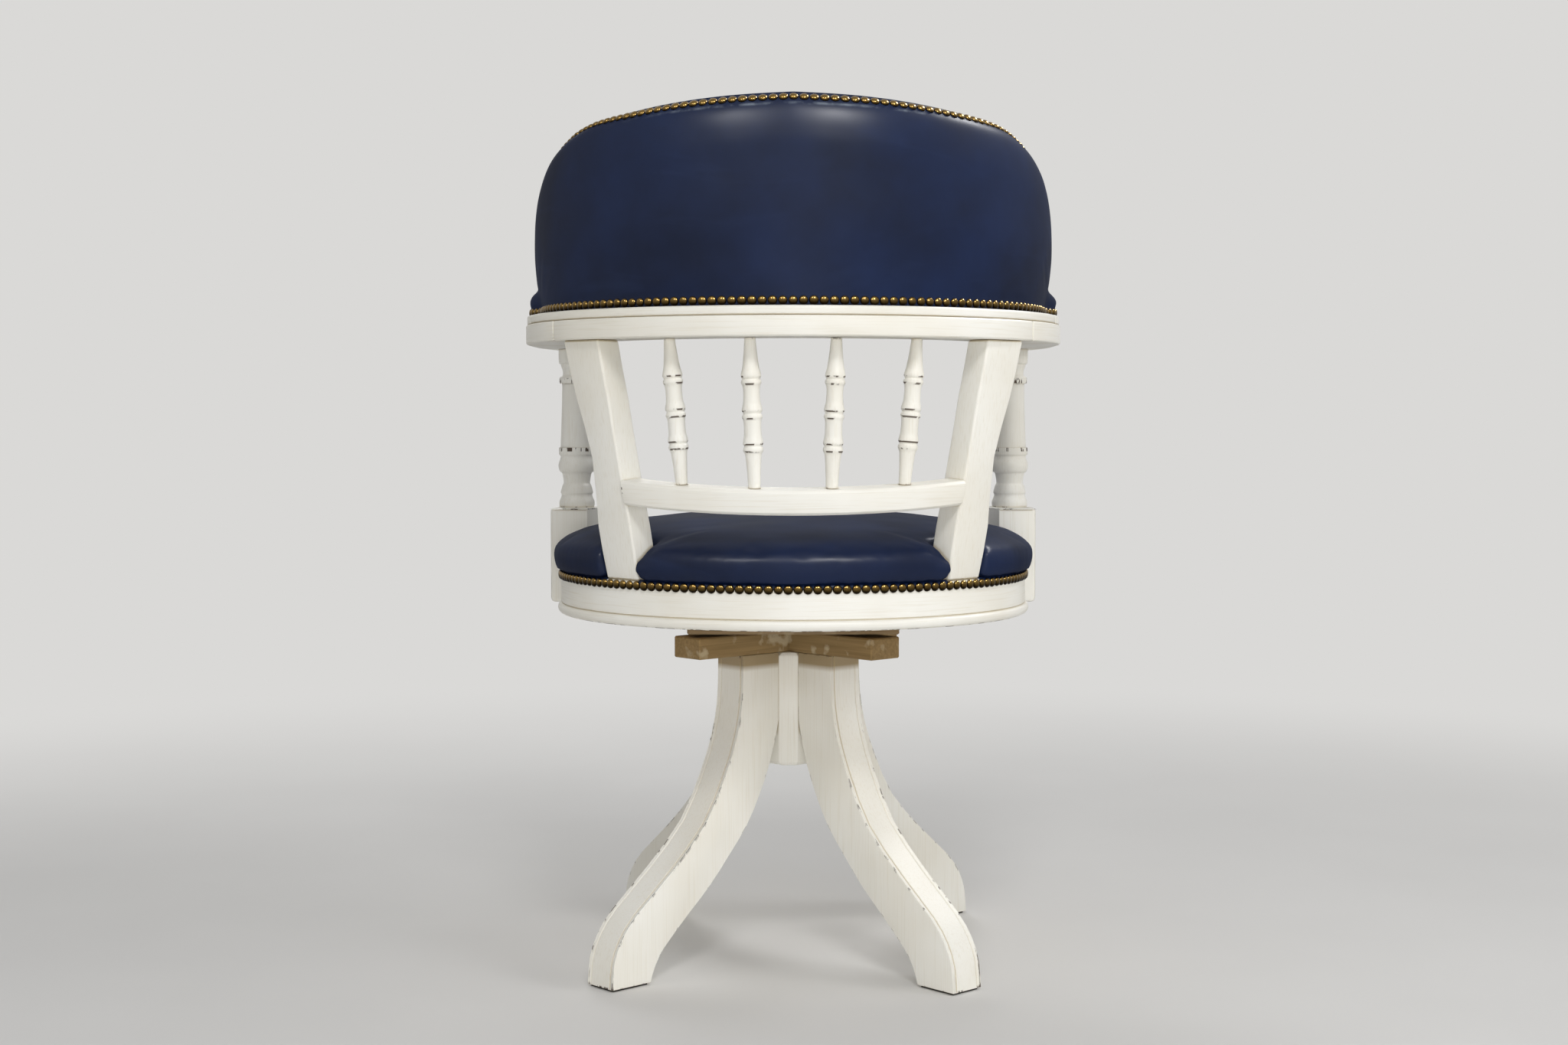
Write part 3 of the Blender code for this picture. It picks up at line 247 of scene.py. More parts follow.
# %% Navy leather
def navy_leather(name, pore_mm=1.5):
    """Most of its shine is a thin coat, because the hide itself mirrors next to nothing."""
    finish, put, shader, place = new_finish(name, Specular_IOR_Level=0.04, Coat_Weight=0.05,
                                            Coat_Roughness=0.36, Coat_IOR=4.0)
    clouds = put("TexNoise", {"Scale": 7.0, "Detail": 4.0, "Roughness": 0.55}, {"Vector": place})
    cloud = put("MapRange", {"From Min": 0.35, "From Max": 0.68}, {"Value": clouds})
    dyed = put("Mix", {6: "#0C1730", 7: "#142345"}, {0: cloud})
    bent = put("Mapping", {"Scale": (5.0, 5.0, 22.0), "Rotation": (0.2, 0.1, 0.0)}, {"Vector": place})
    scuffs = put("TexNoise", {"Scale": 1.0, "Detail": 6.0, "Distortion": 0.8}, {"Vector": bent})
    scuff = put("MapRange", {"From Min": 0.58, "From Max": 0.80, "To Max": 0.22}, {"Value": scuffs})
    scuffed = put("Mix", {7: "#2B3B60"}, {0: scuff, 6: dyed})
    # The pale line below the ridge nails is partly worn leather and partly a painted highlight.
    rubbed = put("Attribute", {"attribute_name": "rubbed"})
    dashes = put("TexNoise", {"Scale": 60.0, "Detail": 3.0}, {"Vector": place})
    dash = put("MapRange", {"From Min": 0.40, "From Max": 0.62, "To Max": 0.8}, {"Value": dashes})
    pale_and_highlight = put("Math", {"operation": "MULTIPLY"}, {0: rubbed, 1: dash})
    shown = put("Mix", {7: "#7D8794"}, {0: pale_and_highlight, 6: scuffed})
    rough = put("MapRange", {"To Min": 0.70, "To Max": 0.80}, {"Value": clouds})
    pores = put("TexVoronoi", {"Scale": 1000.0 / pore_mm}, {"Vector": place})
    fine = put("Bump", {"Strength": 0.10, "Distance": 0.2 * MM}, {"Height": pores})
    folds = put("Bump", {"Strength": 0.18, "Distance": 1.2 * MM}, {"Height": scuffs, "Normal": fine})
    feed(shader, Base_Color=shown, Roughness=rough, Normal=folds)
    return finish


leather = navy_leather("navy_finished_cowhide")
print("leather:", leather.name)

# %% [markdown]
# The nails are brass-plated steel with an antique finish: a dark brown patina that is rubbed through
# to gold on the crown of each head. The colour stays dark on the lower half of a head, which is
# painted shade, and in the gaps between the heads, which is partly patina and partly painted shade.
# The lighter upper half of each head is painted light.

# %% Antique brass
brass, put, shader, place = new_finish("antique_brass_plate", Metallic=1.0)
# Near other surfaces, in the gaps between heads, the colour stays dark: partly patina, partly painted
# shade.
gap_patina_and_shade = put("AmbientOcclusion", {"samples": 8, "Distance": 4 * MM})
spots = put("TexNoise", {"Scale": 260.0, "Detail": 2.0}, {"Vector": place})
mixed = put("Math", {"operation": "MULTIPLY_ADD", 1: 0.55, 2: -0.20}, {0: spots})
crown = put("Math", {"operation": "ADD"}, {0: gap_patina_and_shade, 1: mixed})
open_part = put("MapRange", {"From Min": 0.60, "From Max": 1.0}, {"Value": crown})
# The upper half of each head is made lighter and the lower half darker: painted light and painted
# shade.
faces = put("NewGeometry")
upward = put("SeparateXYZ", None, {0: faces})
upper_half_lit = put("MapRange", {"From Min": -0.45, "From Max": 0.40}, {"Value": upward})
polish_and_painted_light = put("Math", {"operation": "MULTIPLY"}, {0: open_part, 1: upper_half_lit})
patina_and_painted_shade = put("Mix", {6: "#1D150B", 7: "#7E6639"}, {0: polish_and_painted_light})
rough = put("MapRange", {"To Min": 0.42, "To Max": 0.26}, {"Value": polish_and_painted_light})
feed(shader, Base_Color=patina_and_painted_shade, Roughness=rough)
print("brass:", brass.name)

# %% [markdown]
# The cross and the board under the seat were never painted. They are rough-sawn softwood, gone brown,
# with the grain along each board and pale drips of paint on the lower edges.

# %% Bare wood, plywood and metals
def bare_wood(name, dark, light, turn, pale_drips=0.0):
    """turn is the direction of the grain, in degrees from the X axis."""
    finish, put, shader, place = new_finish(name, IOR=1.5, Roughness=0.8)
    turned = put("Mapping", {"vector_type": "TEXTURE", "Rotation": (0, 0, math.radians(turn))},
                 {"Vector": place})
    stretched = put("Mapping", {"Scale": (9.0, 260.0, 260.0)}, {"Vector": turned})
    grain = put("TexNoise", {"Scale": 1.0, "Detail": 5.0, "Distortion": 0.5}, {"Vector": stretched})
    wood = put("Mix", {6: dark, 7: light}, {0: grain})
    spots = put("TexNoise", {"Scale": 38.0, "Detail": 5.0}, {"Vector": place})
    drip = put("MapRange", {"From Min": 0.56, "From Max": 0.64, "To Max": pale_drips}, {"Value": spots})
    shown = put("Mix", {7: "#CDBFA0"}, {0: drip, 6: wood})
    bump = put("Bump", {"Strength": 0.4, "Distance": 0.5 * MM}, {"Height": grain})
    feed(shader, Base_Color=shown, Normal=bump)
    return finish


def plain_metal(name, dark, light, roughness):
    """Machined metal, a little uneven in tone and in polish."""
    finish, put, shader, place = new_finish(name, Metallic=1.0)
    marks = put("TexNoise", {"Scale": 400.0, "Detail": 2.0}, {"Vector": place})
    shown = put("Mix", {6: dark, 7: light}, {0: marks})
    rough = put("MapRange", {"To Min": roughness - 0.08, "To Max": roughness + 0.08}, {"Value": marks})
    feed(shader, Base_Color=shown, Roughness=rough)
    return finish


cross_a_wood = bare_wood("sawn_pine_cross_a", "#6B5636", "#A88C5E", 43, 0.55)
cross_b_wood = bare_wood("sawn_pine_cross_b", "#6B5636", "#A88C5E", -47, 0.55)
board_wood = bare_wood("sawn_pine_board", "#6E5A40", "#A08A68", 0, 0.2)
ply_wood = bare_wood("birch_plywood", "#B79A6C", "#D3B98C", 0)
steel = plain_metal("zinc_plated_steel", "#8C8D8E", "#B4B5B5", 0.38)
bronze = plain_metal("bearing_bronze", "#7C5A32", "#A67C48", 0.40)
felt, put, shader, place = new_finish("pressed_felt", Roughness=1.0)
fibres = put("TexNoise", {"Scale": 900.0, "Detail": 3.0}, {"Vector": place})
grey = put("Mix", {6: "#1B1A19", 7: "#3A3734"}, {0: fibres})
feed(shader, Base_Color=grey)
print("bare finishes:", len(bpy.data.materials))

# %% [markdown]
# A board that has been sawn, sanded and painted has no sharp edge. Its solid does. So a copy of the
# solid has its loose triangles welded, gets a narrow bevel, and is shaded smooth across the small
# steps of its curves. The solid itself isn't touched.

# %% Eased copies of the boards and posts
WELD = 0.01 * MM
LIES_FLAT, COUNTS_AS_EDGE = math.radians(0.5), math.radians(28)

def eased_copy(node, name, width, finish, segments=2):
    """A copy of a solid with its edges rounded over a width."""
    piece = new_object(name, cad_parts[node].data.copy())
    edit(piece)
    bpy.ops.mesh.remove_doubles(threshold=WELD)
    bpy.ops.mesh.dissolve_limited(angle_limit=LIES_FLAT)
    bpy.ops.object.mode_set(mode="OBJECT")
    if width:
        bevel = piece.modifiers.new("eased", "BEVEL")
        bevel.width = width
        bevel.segments = segments
        bevel.limit_method = "ANGLE"
        bevel.angle_limit = COUNTS_AS_EDGE
        apply_all(piece)
    piece.data.materials.clear()
    piece.data.materials.append(finish)
    smooth_over(piece)
    return piece


def finished(piece, body, slot, *nodes):
    """The piece moves with its body and stands for these solids, which are hidden. slot is not used."""
    if nodes:
        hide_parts(*nodes)
    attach(piece, body)
    print(piece.name, len(piece.data.polygons), "faces")


for body, width, finish, nodes in (
        ("seat", 1.2, level_paint, ("rail_back", "rail_arm_left", "rail_arm_right")),
        ("seat", 0.9, level_paint, ("cap_back", "cap_arm_left", "cap_arm_right", "back_stretcher")),
        ("seat", 0.7, upright_paint, ("rear_post_left", "rear_post_right")),
        ("base", 0.8, upright_paint, ("hub_column",))):
    for node in nodes:
        finished(eased_copy(node, node + "_painted", width * MM, finish), body, "painted_wood", node)

# %% [markdown]
# Each leg is sawn from a thick board in a long S. A cutter was then run along both edges of its outer
# face, which left a round bead on each edge, with a fine groove beside it. The leg is laid flat, cut
# through along the grooves, and the points on those cuts are pressed in.

# %% Legs with a bead and groove
AXIS_X = 0.0040          # the swivel axis stands this far beside the seat's middle
BASE_TURN = -2.0
OUTER_FROM = 0.0885      # the outer face starts this far from the axis
FIELD_HALF = 15.4 * MM   # the flat face between the grooves
# Lines along the outer face: how far from its middle, and how deep the cutter went there
CUTTER = ((16.0, 1.7), (16.6, 0.8), (17.4, 0.3), (20.9, 0.25))
FIELD_DEEP = 0.3 * MM
NEAR_LINE = 0.1 * MM

def beaded_leg(number):
    """A leg with a bead and a groove along both edges of its outer face."""
    leg = eased_copy(f"leg_{number}", f"leg_{number}_beaded", 2.4 * MM, leg_paint, 3)
    turn = math.radians(45 + 90 * (number - 1) + BASE_TURN)
    laid = Matrix.Rotation(-turn, 4, "Z") @ Matrix.Translation((-AXIS_X, -SEAT_Y, 0))
    leg.data.transform(laid)
    edit(leg)
    for side in (-1, 1):
        for across in [FIELD_HALF] + [line * MM for line, deep in CUTTER]:
            bpy.ops.mesh.select_all(action="SELECT")
            bpy.ops.mesh.bisect(plane_co=(0, side * across, 0), plane_no=(0, 1, 0))
    pick_points(leg, lambda p: p.normal.x > 0.15 and p.co.x > OUTER_FROM and abs(p.normal.y) < 0.9)
    outer = {point.index for point in bmesh.from_edit_mesh(leg.data).verts if point.select}
    for across, deep in CUTTER:
        pick_points(leg, lambda p: p.index in outer and abs(abs(p.co.y) - across * MM) < NEAR_LINE)
        bpy.ops.transform.shrink_fatten(value=-deep * MM)
    pick_points(leg, lambda p: p.index in outer and abs(p.co.y) < FIELD_HALF + NEAR_LINE)
    bpy.ops.transform.shrink_fatten(value=-FIELD_DEEP)
    bpy.ops.object.mode_set(mode="OBJECT")
    leg.data.transform(laid.inverted())
    smooth_over(leg, 38)
    return leg


for number in (1, 2, 3, 4):
    finished(beaded_leg(number), "base", "painted_wood", f"leg_{number}")

# %% [markdown]
# Turned pieces come off a lathe, so they are made as on a lathe: a profile is drawn point by point with
# extrude, and spun round its axis. A smooth line is run through the points first, because a gouge
# leaves no corners. The rings of each spindle are marked as rubbed, where dark wood shows through.

# %% The lathe
def smooth_line(points, per_span=3):
    """A smooth line through (height, radius) points."""
    line = []
    for i in range(len(points) - 1):
        before, start = Vector(points[max(i - 1, 0)]), Vector(points[i])
        end, after = Vector(points[i + 1]), Vector(points[min(i + 2, len(points) - 1)])
        for step in range(per_span):
            t = step / per_span
            line.append(0.5 * (2 * start + (end - before) * t
                               + (2 * before - 5 * start + 4 * end - after) * t ** 2
                               + (3 * start - before - 3 * end + after) * t ** 3))
    line.append(Vector(points[-1]))
    return [(point.x, point.y) for point in line]


def even(points, count):
    """The same line with its points at equal distances."""
    lengths = [0.0]
    for a, b in zip(points, points[1:]):
        lengths.append(lengths[-1] + math.dist(a, b))
    line, part = [], 0
    for step in range(count):
        want = lengths[-1] * step / (count - 1)
        while part < len(points) - 2 and lengths[part + 1] < want:
            part += 1
        t = (want - lengths[part]) / max(lengths[part + 1] - lengths[part], 1e-9)
        line.append(tuple(a + (b - a) * t for a, b in zip(points[part], points[part + 1])))
    return line


def ease_in(value, start, end):
    """From 0 to 1 between two values, with soft ends."""
    t = min(max((value - start) / (end - start), 0.0), 1.0)
    return t * t * (3 - 2 * t)


def turned(name, profile, finish, steps=48, closed=False, degrees=32):
    """Spin a run of (height, radius) points round the Z axis."""
    bpy.ops.object.select_all(action="DESELECT")
    bpy.ops.mesh.primitive_plane_add(size=0.01, location=(0, 0, 0))
    piece = bpy.context.object
    piece.name = name
    edit(piece)
    bpy.ops.mesh.merge(type="CENTER")
    height, radius = profile[0]
    bpy.ops.transform.translate(value=(radius, 0, height))
    for (low, near), (high, far) in zip(profile, profile[1:]):
        step = (far - near, 0, high - low)
        bpy.ops.mesh.extrude_vertices_move(TRANSFORM_OT_translate={"value": step})
    if closed:
        mesh = bmesh.from_edit_mesh(piece.data)
        mesh.edges.new([point for point in mesh.verts if len(point.link_edges) == 1])
        bmesh.update_edit_mesh(piece.data)
    bpy.ops.mesh.select_all(action="SELECT")
    bpy.ops.mesh.spin(steps=steps, angle=math.tau, center=(0, 0, 0), axis=(0, 0, 1))
    bpy.ops.mesh.select_all(action="SELECT")
    bpy.ops.mesh.remove_doubles(threshold=WELD)
    bpy.ops.mesh.normals_make_consistent(inside=False)
    bpy.ops.object.mode_set(mode="OBJECT")
    piece.data.materials.append(finish)
    smooth_over(piece, degrees)
    return piece


def mark_worn_and_sheen(piece, strength):
    """Keep a number for each point that says how much it is worn, and on the leather also how much
    painted highlight it gets.
    """
    layer = piece.data.attributes.new("rubbed", "FLOAT", "POINT")
    layer.data.foreach_set("value", [strength(point.co) for point in piece.data.vertices])


print("lathe ready")

# %% [markdown]
# The seat ring is bent from thick wood and turned true. Its face is plain, and a round bead runs along
# the bottom. A fine cut parts the two, and the glaze collects in it, with painted shade.

# %% Seat ring
RIM_LOW, RIM_HIGH, RIM_R = 0.3971, 0.4461, 0.2685
RIM_IN, REBATE_R = 0.2135, 0.2258
PANEL_TOP = RIM_LOW + 12.3 * MM          # the seat panel lies in a rebate below the ring
# Millimetres up from the ring's top, and out from its face
TOP_EDGE = ((0.0, -2.2), (-0.7, -0.7), (-2.2, 0.0))
# Millimetres up from the ring's bottom, and out from its face
STEP_AND_BEAD = ((14.5, 0.0), (12.9, 0.0), (12.4, -0.5), (12.0, -1.1), (11.5, -0.9), (10.9, 0.6),
                 (10.0, 2.2), (8.7, 3.3), (6.8, 3.8), (4.6, 3.5), (2.5, 2.6), (1.0, 1.2), (0.0, -1.2))

def off_rim(height, table):
    """Profile points from a table in millimetres, measured from this height and the ring's face."""
    return [(height + up * MM, RIM_R + out * MM) for up, out in table]


ring_profile = ([(RIM_HIGH, RIM_IN)] + off_rim(RIM_HIGH, TOP_EDGE)
                + smooth_line(off_rim(RIM_LOW, STEP_AND_BEAD), 2)
                + [(RIM_LOW, REBATE_R), (PANEL_TOP, REBATE_R), (PANEL_TOP, RIM_IN)])
ring = turned("seat_ring_turned", ring_profile, level_paint, steps=144, closed=True)
ring.data.transform(Matrix.Translation((0, SEAT_Y, 0)))
# The paint has gone where the ring is lifted by, under the bead.
RUBBED_UP, RUBBED_IN = 0.8 * MM, 16 * MM
mark_worn_and_sheen(ring, lambda p: float(p.z < RIM_LOW + RUBBED_UP and p.xy.length > RIM_R - RUBBED_IN))
finished(ring, "seat", "painted_wood", "seat_rim")

# %% [markdown]
# Four slim spindles fan out between the stretcher and the rail. Each has three pairs of rings. The lean
# of each one is worked out from its two ends, as the chair maker's drill would have set it.

# %% Spindles
# Height and radius, in metres
SPINDLE = ((0.0000, 0.0063), (0.0170, 0.0071), (0.0330, 0.0083), (0.0365, 0.0090), (0.0380, 0.0098),
           (0.0400, 0.0105), (0.0425, 0.0103), (0.0438, 0.0093), (0.0448, 0.0092), (0.0460, 0.0102),
           (0.0480, 0.0106), (0.0505, 0.0102), (0.0550, 0.0093), (0.0620, 0.0090), (0.0700, 0.0092),
           (0.0728, 0.0098), (0.0746, 0.0106), (0.0770, 0.0103), (0.0783, 0.0093), (0.0793, 0.0092),
           (0.0806, 0.0102), (0.0826, 0.0107), (0.0855, 0.0102), (0.0910, 0.0090), (0.1000, 0.0086),
           (0.1060, 0.0089), (0.1088, 0.0097), (0.1106, 0.0106), (0.1134, 0.0103), (0.1146, 0.0093),
           (0.1156, 0.0092), (0.1168, 0.0102), (0.1190, 0.0106), (0.1222, 0.0100), (0.1265, 0.0089),
           (0.1330, 0.0080), (0.1420, 0.0070), (0.1580, 0.0057))
RUBBED_RINGS = (0.0386, 0.0464, 0.0734, 0.0812, 0.1096, 0.1176)
RAIL_MID_R, RAIL_LOW = 0.2735, 0.7032
STRETCHER_R, STRETCHER_DEEP, STRETCHER_TALL = 0.2830, 0.0280, 0.0262
STRETCHER_UP, STRETCHER_TILT = 0.0854, math.radians(7.5)
FEET_APART, HEADS_APART = 17.2, 18.9     # degrees about the seat's middle
RING_HALF, RING_FADE = 1.3 * MM, 0.8 * MM

def seat_polar(radius, degrees, height):
    """A place by its angle from the back of the seat, towards +X."""
    angle = math.radians(degrees)
    return Vector((radius * math.sin(angle), SEAT_Y + radius * math.cos(angle), height))


for index in range(4):
    step = index - 1.5
    foot = seat_polar(STRETCHER_R - STRETCHER_DEEP / 2, step * FEET_APART, 0)
    foot.z = (RIM_HIGH + STRETCHER_UP + STRETCHER_TALL / 2 / math.cos(STRETCHER_TILT)
              + (STRETCHER_R - (foot.y - SEAT_Y)) * math.tan(STRETCHER_TILT))
    head = seat_polar(RAIL_MID_R, step * HEADS_APART, RAIL_LOW)
    run = head - foot
    stretch = (run.length - 0.4 * MM) / SPINDLE[-1][0]
    line = [(up * stretch, radius) for up, radius in even(smooth_line(SPINDLE, 6), 190)]
    tenon = [(-8 * MM, 0.0), (-8 * MM, 5 * MM), (-0.2 * MM, 5 * MM)]
    line = tenon + line + [(line[-1][0], 0.0)]
    spindle = turned(f"back_spindle_{index + 1}_turned", line, upright_paint, degrees=50)
    mark_worn_and_sheen(spindle, lambda p: ease_in(
        RING_HALF - min(abs(p.z / stretch - ring) for ring in RUBBED_RINGS), 0.0, RING_FADE))
    spindle.data.transform(Matrix.Translation(foot) @ run.to_track_quat("Z", "Y").to_matrix().to_4x4())
    finished(spindle, "seat", "painted_wood", f"back_spindle_{index + 1}")

# %% [markdown]
# The front posts are the same work, thicker. Only the upper part is turned, and a square block is left
# below it, scribed to fit the seat ring. The block is kept from the solid, cut off level at its top.

# %% Front posts
FRONT = ((0.0000, 0.0210), (0.0060, 0.0215), (0.0125, 0.0190), (0.0155, 0.0187), (0.0180, 0.0196),
         (0.0260, 0.0176), (0.0300, 0.0160), (0.0410, 0.0178), (0.0435, 0.0206), (0.0515, 0.0224),
         (0.0600, 0.0197), (0.0630, 0.0200), (0.0645, 0.0215), (0.0725, 0.0215), (0.0740, 0.0196),
         (0.1485, 0.0173), (0.1510, 0.0203), (0.1580, 0.0203), (0.1600, 0.0168), (0.1660, 0.0165),
         (0.1720, 0.0186), (0.1745, 0.0190), (0.1765, 0.0212), (0.1925, 0.0215))
BLOCK_TOP = RIM_LOW + 0.1145
FRONT_X, FRONT_Y = 0.2642, 0.130         # beside the seat's middle, and in front of it
RUBBED_BAND = 0.1550
for side, word in ((1, "left"), (-1, "right")):
    block = eased_copy("front_post_" + word, "front_post_" + word + "_turned", 0, upright_paint)
    edit(block)
    bpy.ops.mesh.bisect(plane_co=(0, 0, BLOCK_TOP - 0.3 * MM), plane_no=(0, 0, 1), clear_outer=True,
                        use_fill=True)
    pick_points(block, lambda p: p.co.z > BLOCK_TOP - 0.4 * MM)
    bpy.ops.mesh.dissolve_limited(angle_limit=math.radians(1))
    pick_points(block, lambda p: p.co.z > BLOCK_TOP - 0.4 * MM)
    bpy.ops.mesh.bevel(offset=5.0 * MM, segments=4, affect="EDGES", profile=0.5)
    bpy.ops.object.mode_set(mode="OBJECT")
    stretch = (RAIL_LOW - BLOCK_TOP) / FRONT[-1][0]
    line = [(up * stretch, radius) for up, radius in smooth_line(FRONT)]
    line = [(-0.3 * MM, 0.0), (-0.3 * MM, line[0][1])] + line + [(line[-1][0], 0.0)]
    post = turned("turning_" + word, line, upright_paint, degrees=40)
    mark_worn_and_sheen(post, lambda p: 0.8 if abs(p.z / stretch - RUBBED_BAND) < 1.2 * MM else 0.0)
    post.data.transform(Matrix.Translation((side * FRONT_X, SEAT_Y - FRONT_Y, BLOCK_TOP)))
    only(block, post)
    bpy.ops.object.join()
    smooth_over(block, 40)
    finished(block, "seat", "painted_wood", "front_post_" + word)

# %% [markdown]
# The leather of the back and of the arms follows the rail. Seen from above, the rail is a half circle,
# then a short straight, and then a slow bend inward to each arm's end. One function gives a place on
# its middle line, and every piece on it is measured outward and upward from there.

# %% The line of the rail
RAIL_WIDE = 0.067
ARM_STRAIGHT, ARM_BEND_R, ARM_TIP = 0.060, 0.533, 0.235
LEATHER_FOOT = 0.7355    # where the leather stands on the cap board
QUARTER = RAIL_MID_R * math.pi / 2
BEND = ARM_BEND_R - RAIL_WIDE / 2

def rail_line(along):
    """A place on the middle of the rail and its outward direction. along is from the back, + to +X."""
    side, run = (1 if along >= 0 else -1), abs(along)
    if run <= QUARTER:
        angle = run / RAIL_MID_R
        outward = Vector((math.sin(angle), math.cos(angle), 0))
        place = RAIL_MID_R * outward
    elif run <= QUARTER + ARM_STRAIGHT:
        outward = Vector((1, 0, 0))
        place = Vector((RAIL_MID_R, QUARTER - run, 0))
    else:
        angle = (run - QUARTER - ARM_STRAIGHT) / BEND
        outward = Vector((math.cos(angle), -math.sin(angle), 0))
        place = Vector((RAIL_MID_R - BEND, -ARM_STRAIGHT, 0)) + BEND * outward
    return Vector((side * place.x, SEAT_Y + place.y, 0)), Vector((side * outward.x, outward.y, 0))


def on_rail(along, out, up):
    place, outward = rail_line(along)
    return place + outward * out + Vector((0, 0, LEATHER_FOOT + up))


ARM_END = QUARTER + ARM_STRAIGHT + BEND * math.asin((ARM_TIP - RAIL_WIDE / 2 - ARM_STRAIGHT) / BEND)
print("arm ends", round(ARM_END, 4), "m along the rail from the back")

# %% [markdown]
# A cover is laid out as sections, one every few millimetres along the rail. Each section is a closed
# line, and joining each to the next gives an even skin of small squares. The cloth solver needs such an
# even skin, because it treats every edge as a thread.

# %% Sections, and a skin over them
def smooth_value(points, x, column=1):
    """Read a smooth line through (x, value) points at x."""
    xs, values = [p[0] for p in points], [p[column] for p in points]
    x = min(max(x, xs[0]), xs[-1])
    index = max(i for i in range(len(xs) - 1) if xs[i] <= x)
    last = len(xs) - 1
    slopes = []
    for i in (index, index + 1):
        before, after = max(i - 1, 0), min(i + 1, last)
        slopes.append((values[after] - values[before]) / (xs[after] - xs[before]))
    span = xs[index + 1] - xs[index]
    t = (x - xs[index]) / span
    return ((2 * t ** 3 - 3 * t ** 2 + 1) * values[index] + (t ** 3 - 2 * t ** 2 + t) * span * slopes[0]
            + (3 * t ** 2 - 2 * t ** 3) * values[index + 1] + (t ** 3 - t ** 2) * span * slopes[1])


def skin(name, sections, finish):
    """A closed skin over a row of closed sections."""
    mesh = bmesh.new()
    rings = [[mesh.verts.new(point) for point in section] for section in sections]
    for low, high in zip(rings, rings[1:]):
        for i in range(len(low)):
            j = (i + 1) % len(low)
            mesh.faces.new((low[i], low[j], high[j], high[i]))
    mesh.faces.new(rings[0][::-1])
    mesh.faces.new(rings[-1])
    bmesh.ops.recalc_face_normals(mesh, faces=mesh.faces)
    data = bpy.data.meshes.new(name)
    mesh.to_mesh(data)
    mesh.free()
    data.materials.append(finish)
    return new_object(name, data)


print("section helpers ready")

# %% [markdown]
# The covers are filled as a real one is: the hide is held at its edges and the stuffing pushes it out.
# The cloth solver does this with air pressure. The points behind nails are held still, and how far the
# others may move is limited, so the cover keeps its drawn shape but loses its stiffness. Slow, uneven
# waves of less than a millimetre stand for stuffing that was laid by hand.

# %% Filling a cover
PRESSURE, STIFFNESS, CLOTH_FRAMES = 4.0, 2.0, 20

def held_rows(count, first, last):
    """Hold the first points of each section, behind the nails, and those after the last free one."""
    return lambda point: 1.0 if point.index % count < first or point.index % count > last else 0.0


def filled(piece, held, most, waves=0.5 * MM):
    """held gives 1 for a point that can't move and 0 for a free one. most is the furthest move."""
    start = [point.co.copy() for point in piece.data.vertices]
    stuck = [held(point) for point in piece.data.vertices]
    group = piece.vertex_groups.new(name="held")
    for point, weight in zip(piece.data.vertices, stuck):
        if weight > 0:
            group.add([point.index], weight, "REPLACE")
    cloth = piece.modifiers.new("cover", "CLOTH")
    cloth.settings.vertex_group_mass = "held"
    cloth.settings.use_pressure = True
    cloth.settings.uniform_pressure_force = PRESSURE
    cloth.settings.effector_weights.gravity = 0
    cloth.settings.bending_stiffness = STIFFNESS
    cloth.point_cache.frame_end = CLOTH_FRAMES
    for step in range(1, CLOTH_FRAMES + 1):
        bpy.context.scene.frame_set(step)
    apply_all(piece)
    bpy.context.scene.frame_set(1)
    piece.vertex_groups.clear()
    moved = 0.0
    normals = [point.normal.copy() for point in piece.data.vertices]
    for point, before, weight, normal in zip(piece.data.vertices, start, stuck, normals):
        move = point.co - before
        far = min(move.length, 1.0)
        limited = most * (1 - math.exp(-far / most)) * (1 - weight)
        wave = noise.noise(before * 14) + 0.5 * noise.noise(before * 33)
        point.co = before + (move.normalized() * limited if far > 1e-7 else Vector())
        point.co += normal * wave * waves * (1 - weight)
        moved = max(moved, limited)
    surface = piece.modifiers.new("fine", "SUBSURF")
    surface.levels = surface.render_levels = 1
    apply_all(piece)
    piece.data.polygons.foreach_set("use_smooth", [True] * len(piece.data.polygons))
    print(piece.name, "moved at most", round(moved * 1000, 1), "mm")


# %% [markdown]
# The outside of the back is one hide over a thin pad. It stands upright on the cap board, bulges a
# little, and turns over at the top to the ridge. Near each wing's foot it swells outward over the
# board, where it meets the arm pad: in the photo this is a small lump beyond the back's outline.

# %% Outside of the back
BACK_RISE, WING_RISE, WING_LENGTH = 0.2206, 0.0496, 0.4977
RIDGE_SHARE = 0.99       # the ridge stands this far up the rise of the solid
NAIL_LIP = 0.0098        # height of the flat strip that the nails hold down
FACE_FOOT = 0.0150
SHELL_OUT, SHELL_IN, SHELL_TOP = 0.0008, -0.0088, 0.88
ON_BOARD, OVER_SHELL = 0.3 * MM, 0.8 * MM
SEAM, SEAM_GAP = -0.0040, 0.2 * MM       # the two hides meet along the ridge
# Along the back, as a share of the wing's length, and the rise there
TOP_LINE = ((0.0, 1.0), (0.16, 0.980), (0.33, 0.941), (0.50, 0.884), (0.60, 0.824), (0.70, 0.736),
            (0.80, 0.598), (0.88, 0.415), (0.94, 0.205), (1.0, 0.0))
# How far out the leather stands, at its share of the height, and near the top at its depth
# below the ridge. Where the wing is lower than the full turn, the turn shrinks with it.
OUTER_SIDE = ((0.0166, 0.06), (0.0188, 0.18), (0.0216, 0.40))
OUTER_TURN = ((0.0214, 0.060), (0.0200, 0.040), (0.0174, 0.025), (0.0140, 0.0140), (0.0098, 0.0068),
              (0.0060, 0.0034), (0.0015, 0.0012), (-0.0022, 0.0004))
FULL_TURN = 0.15
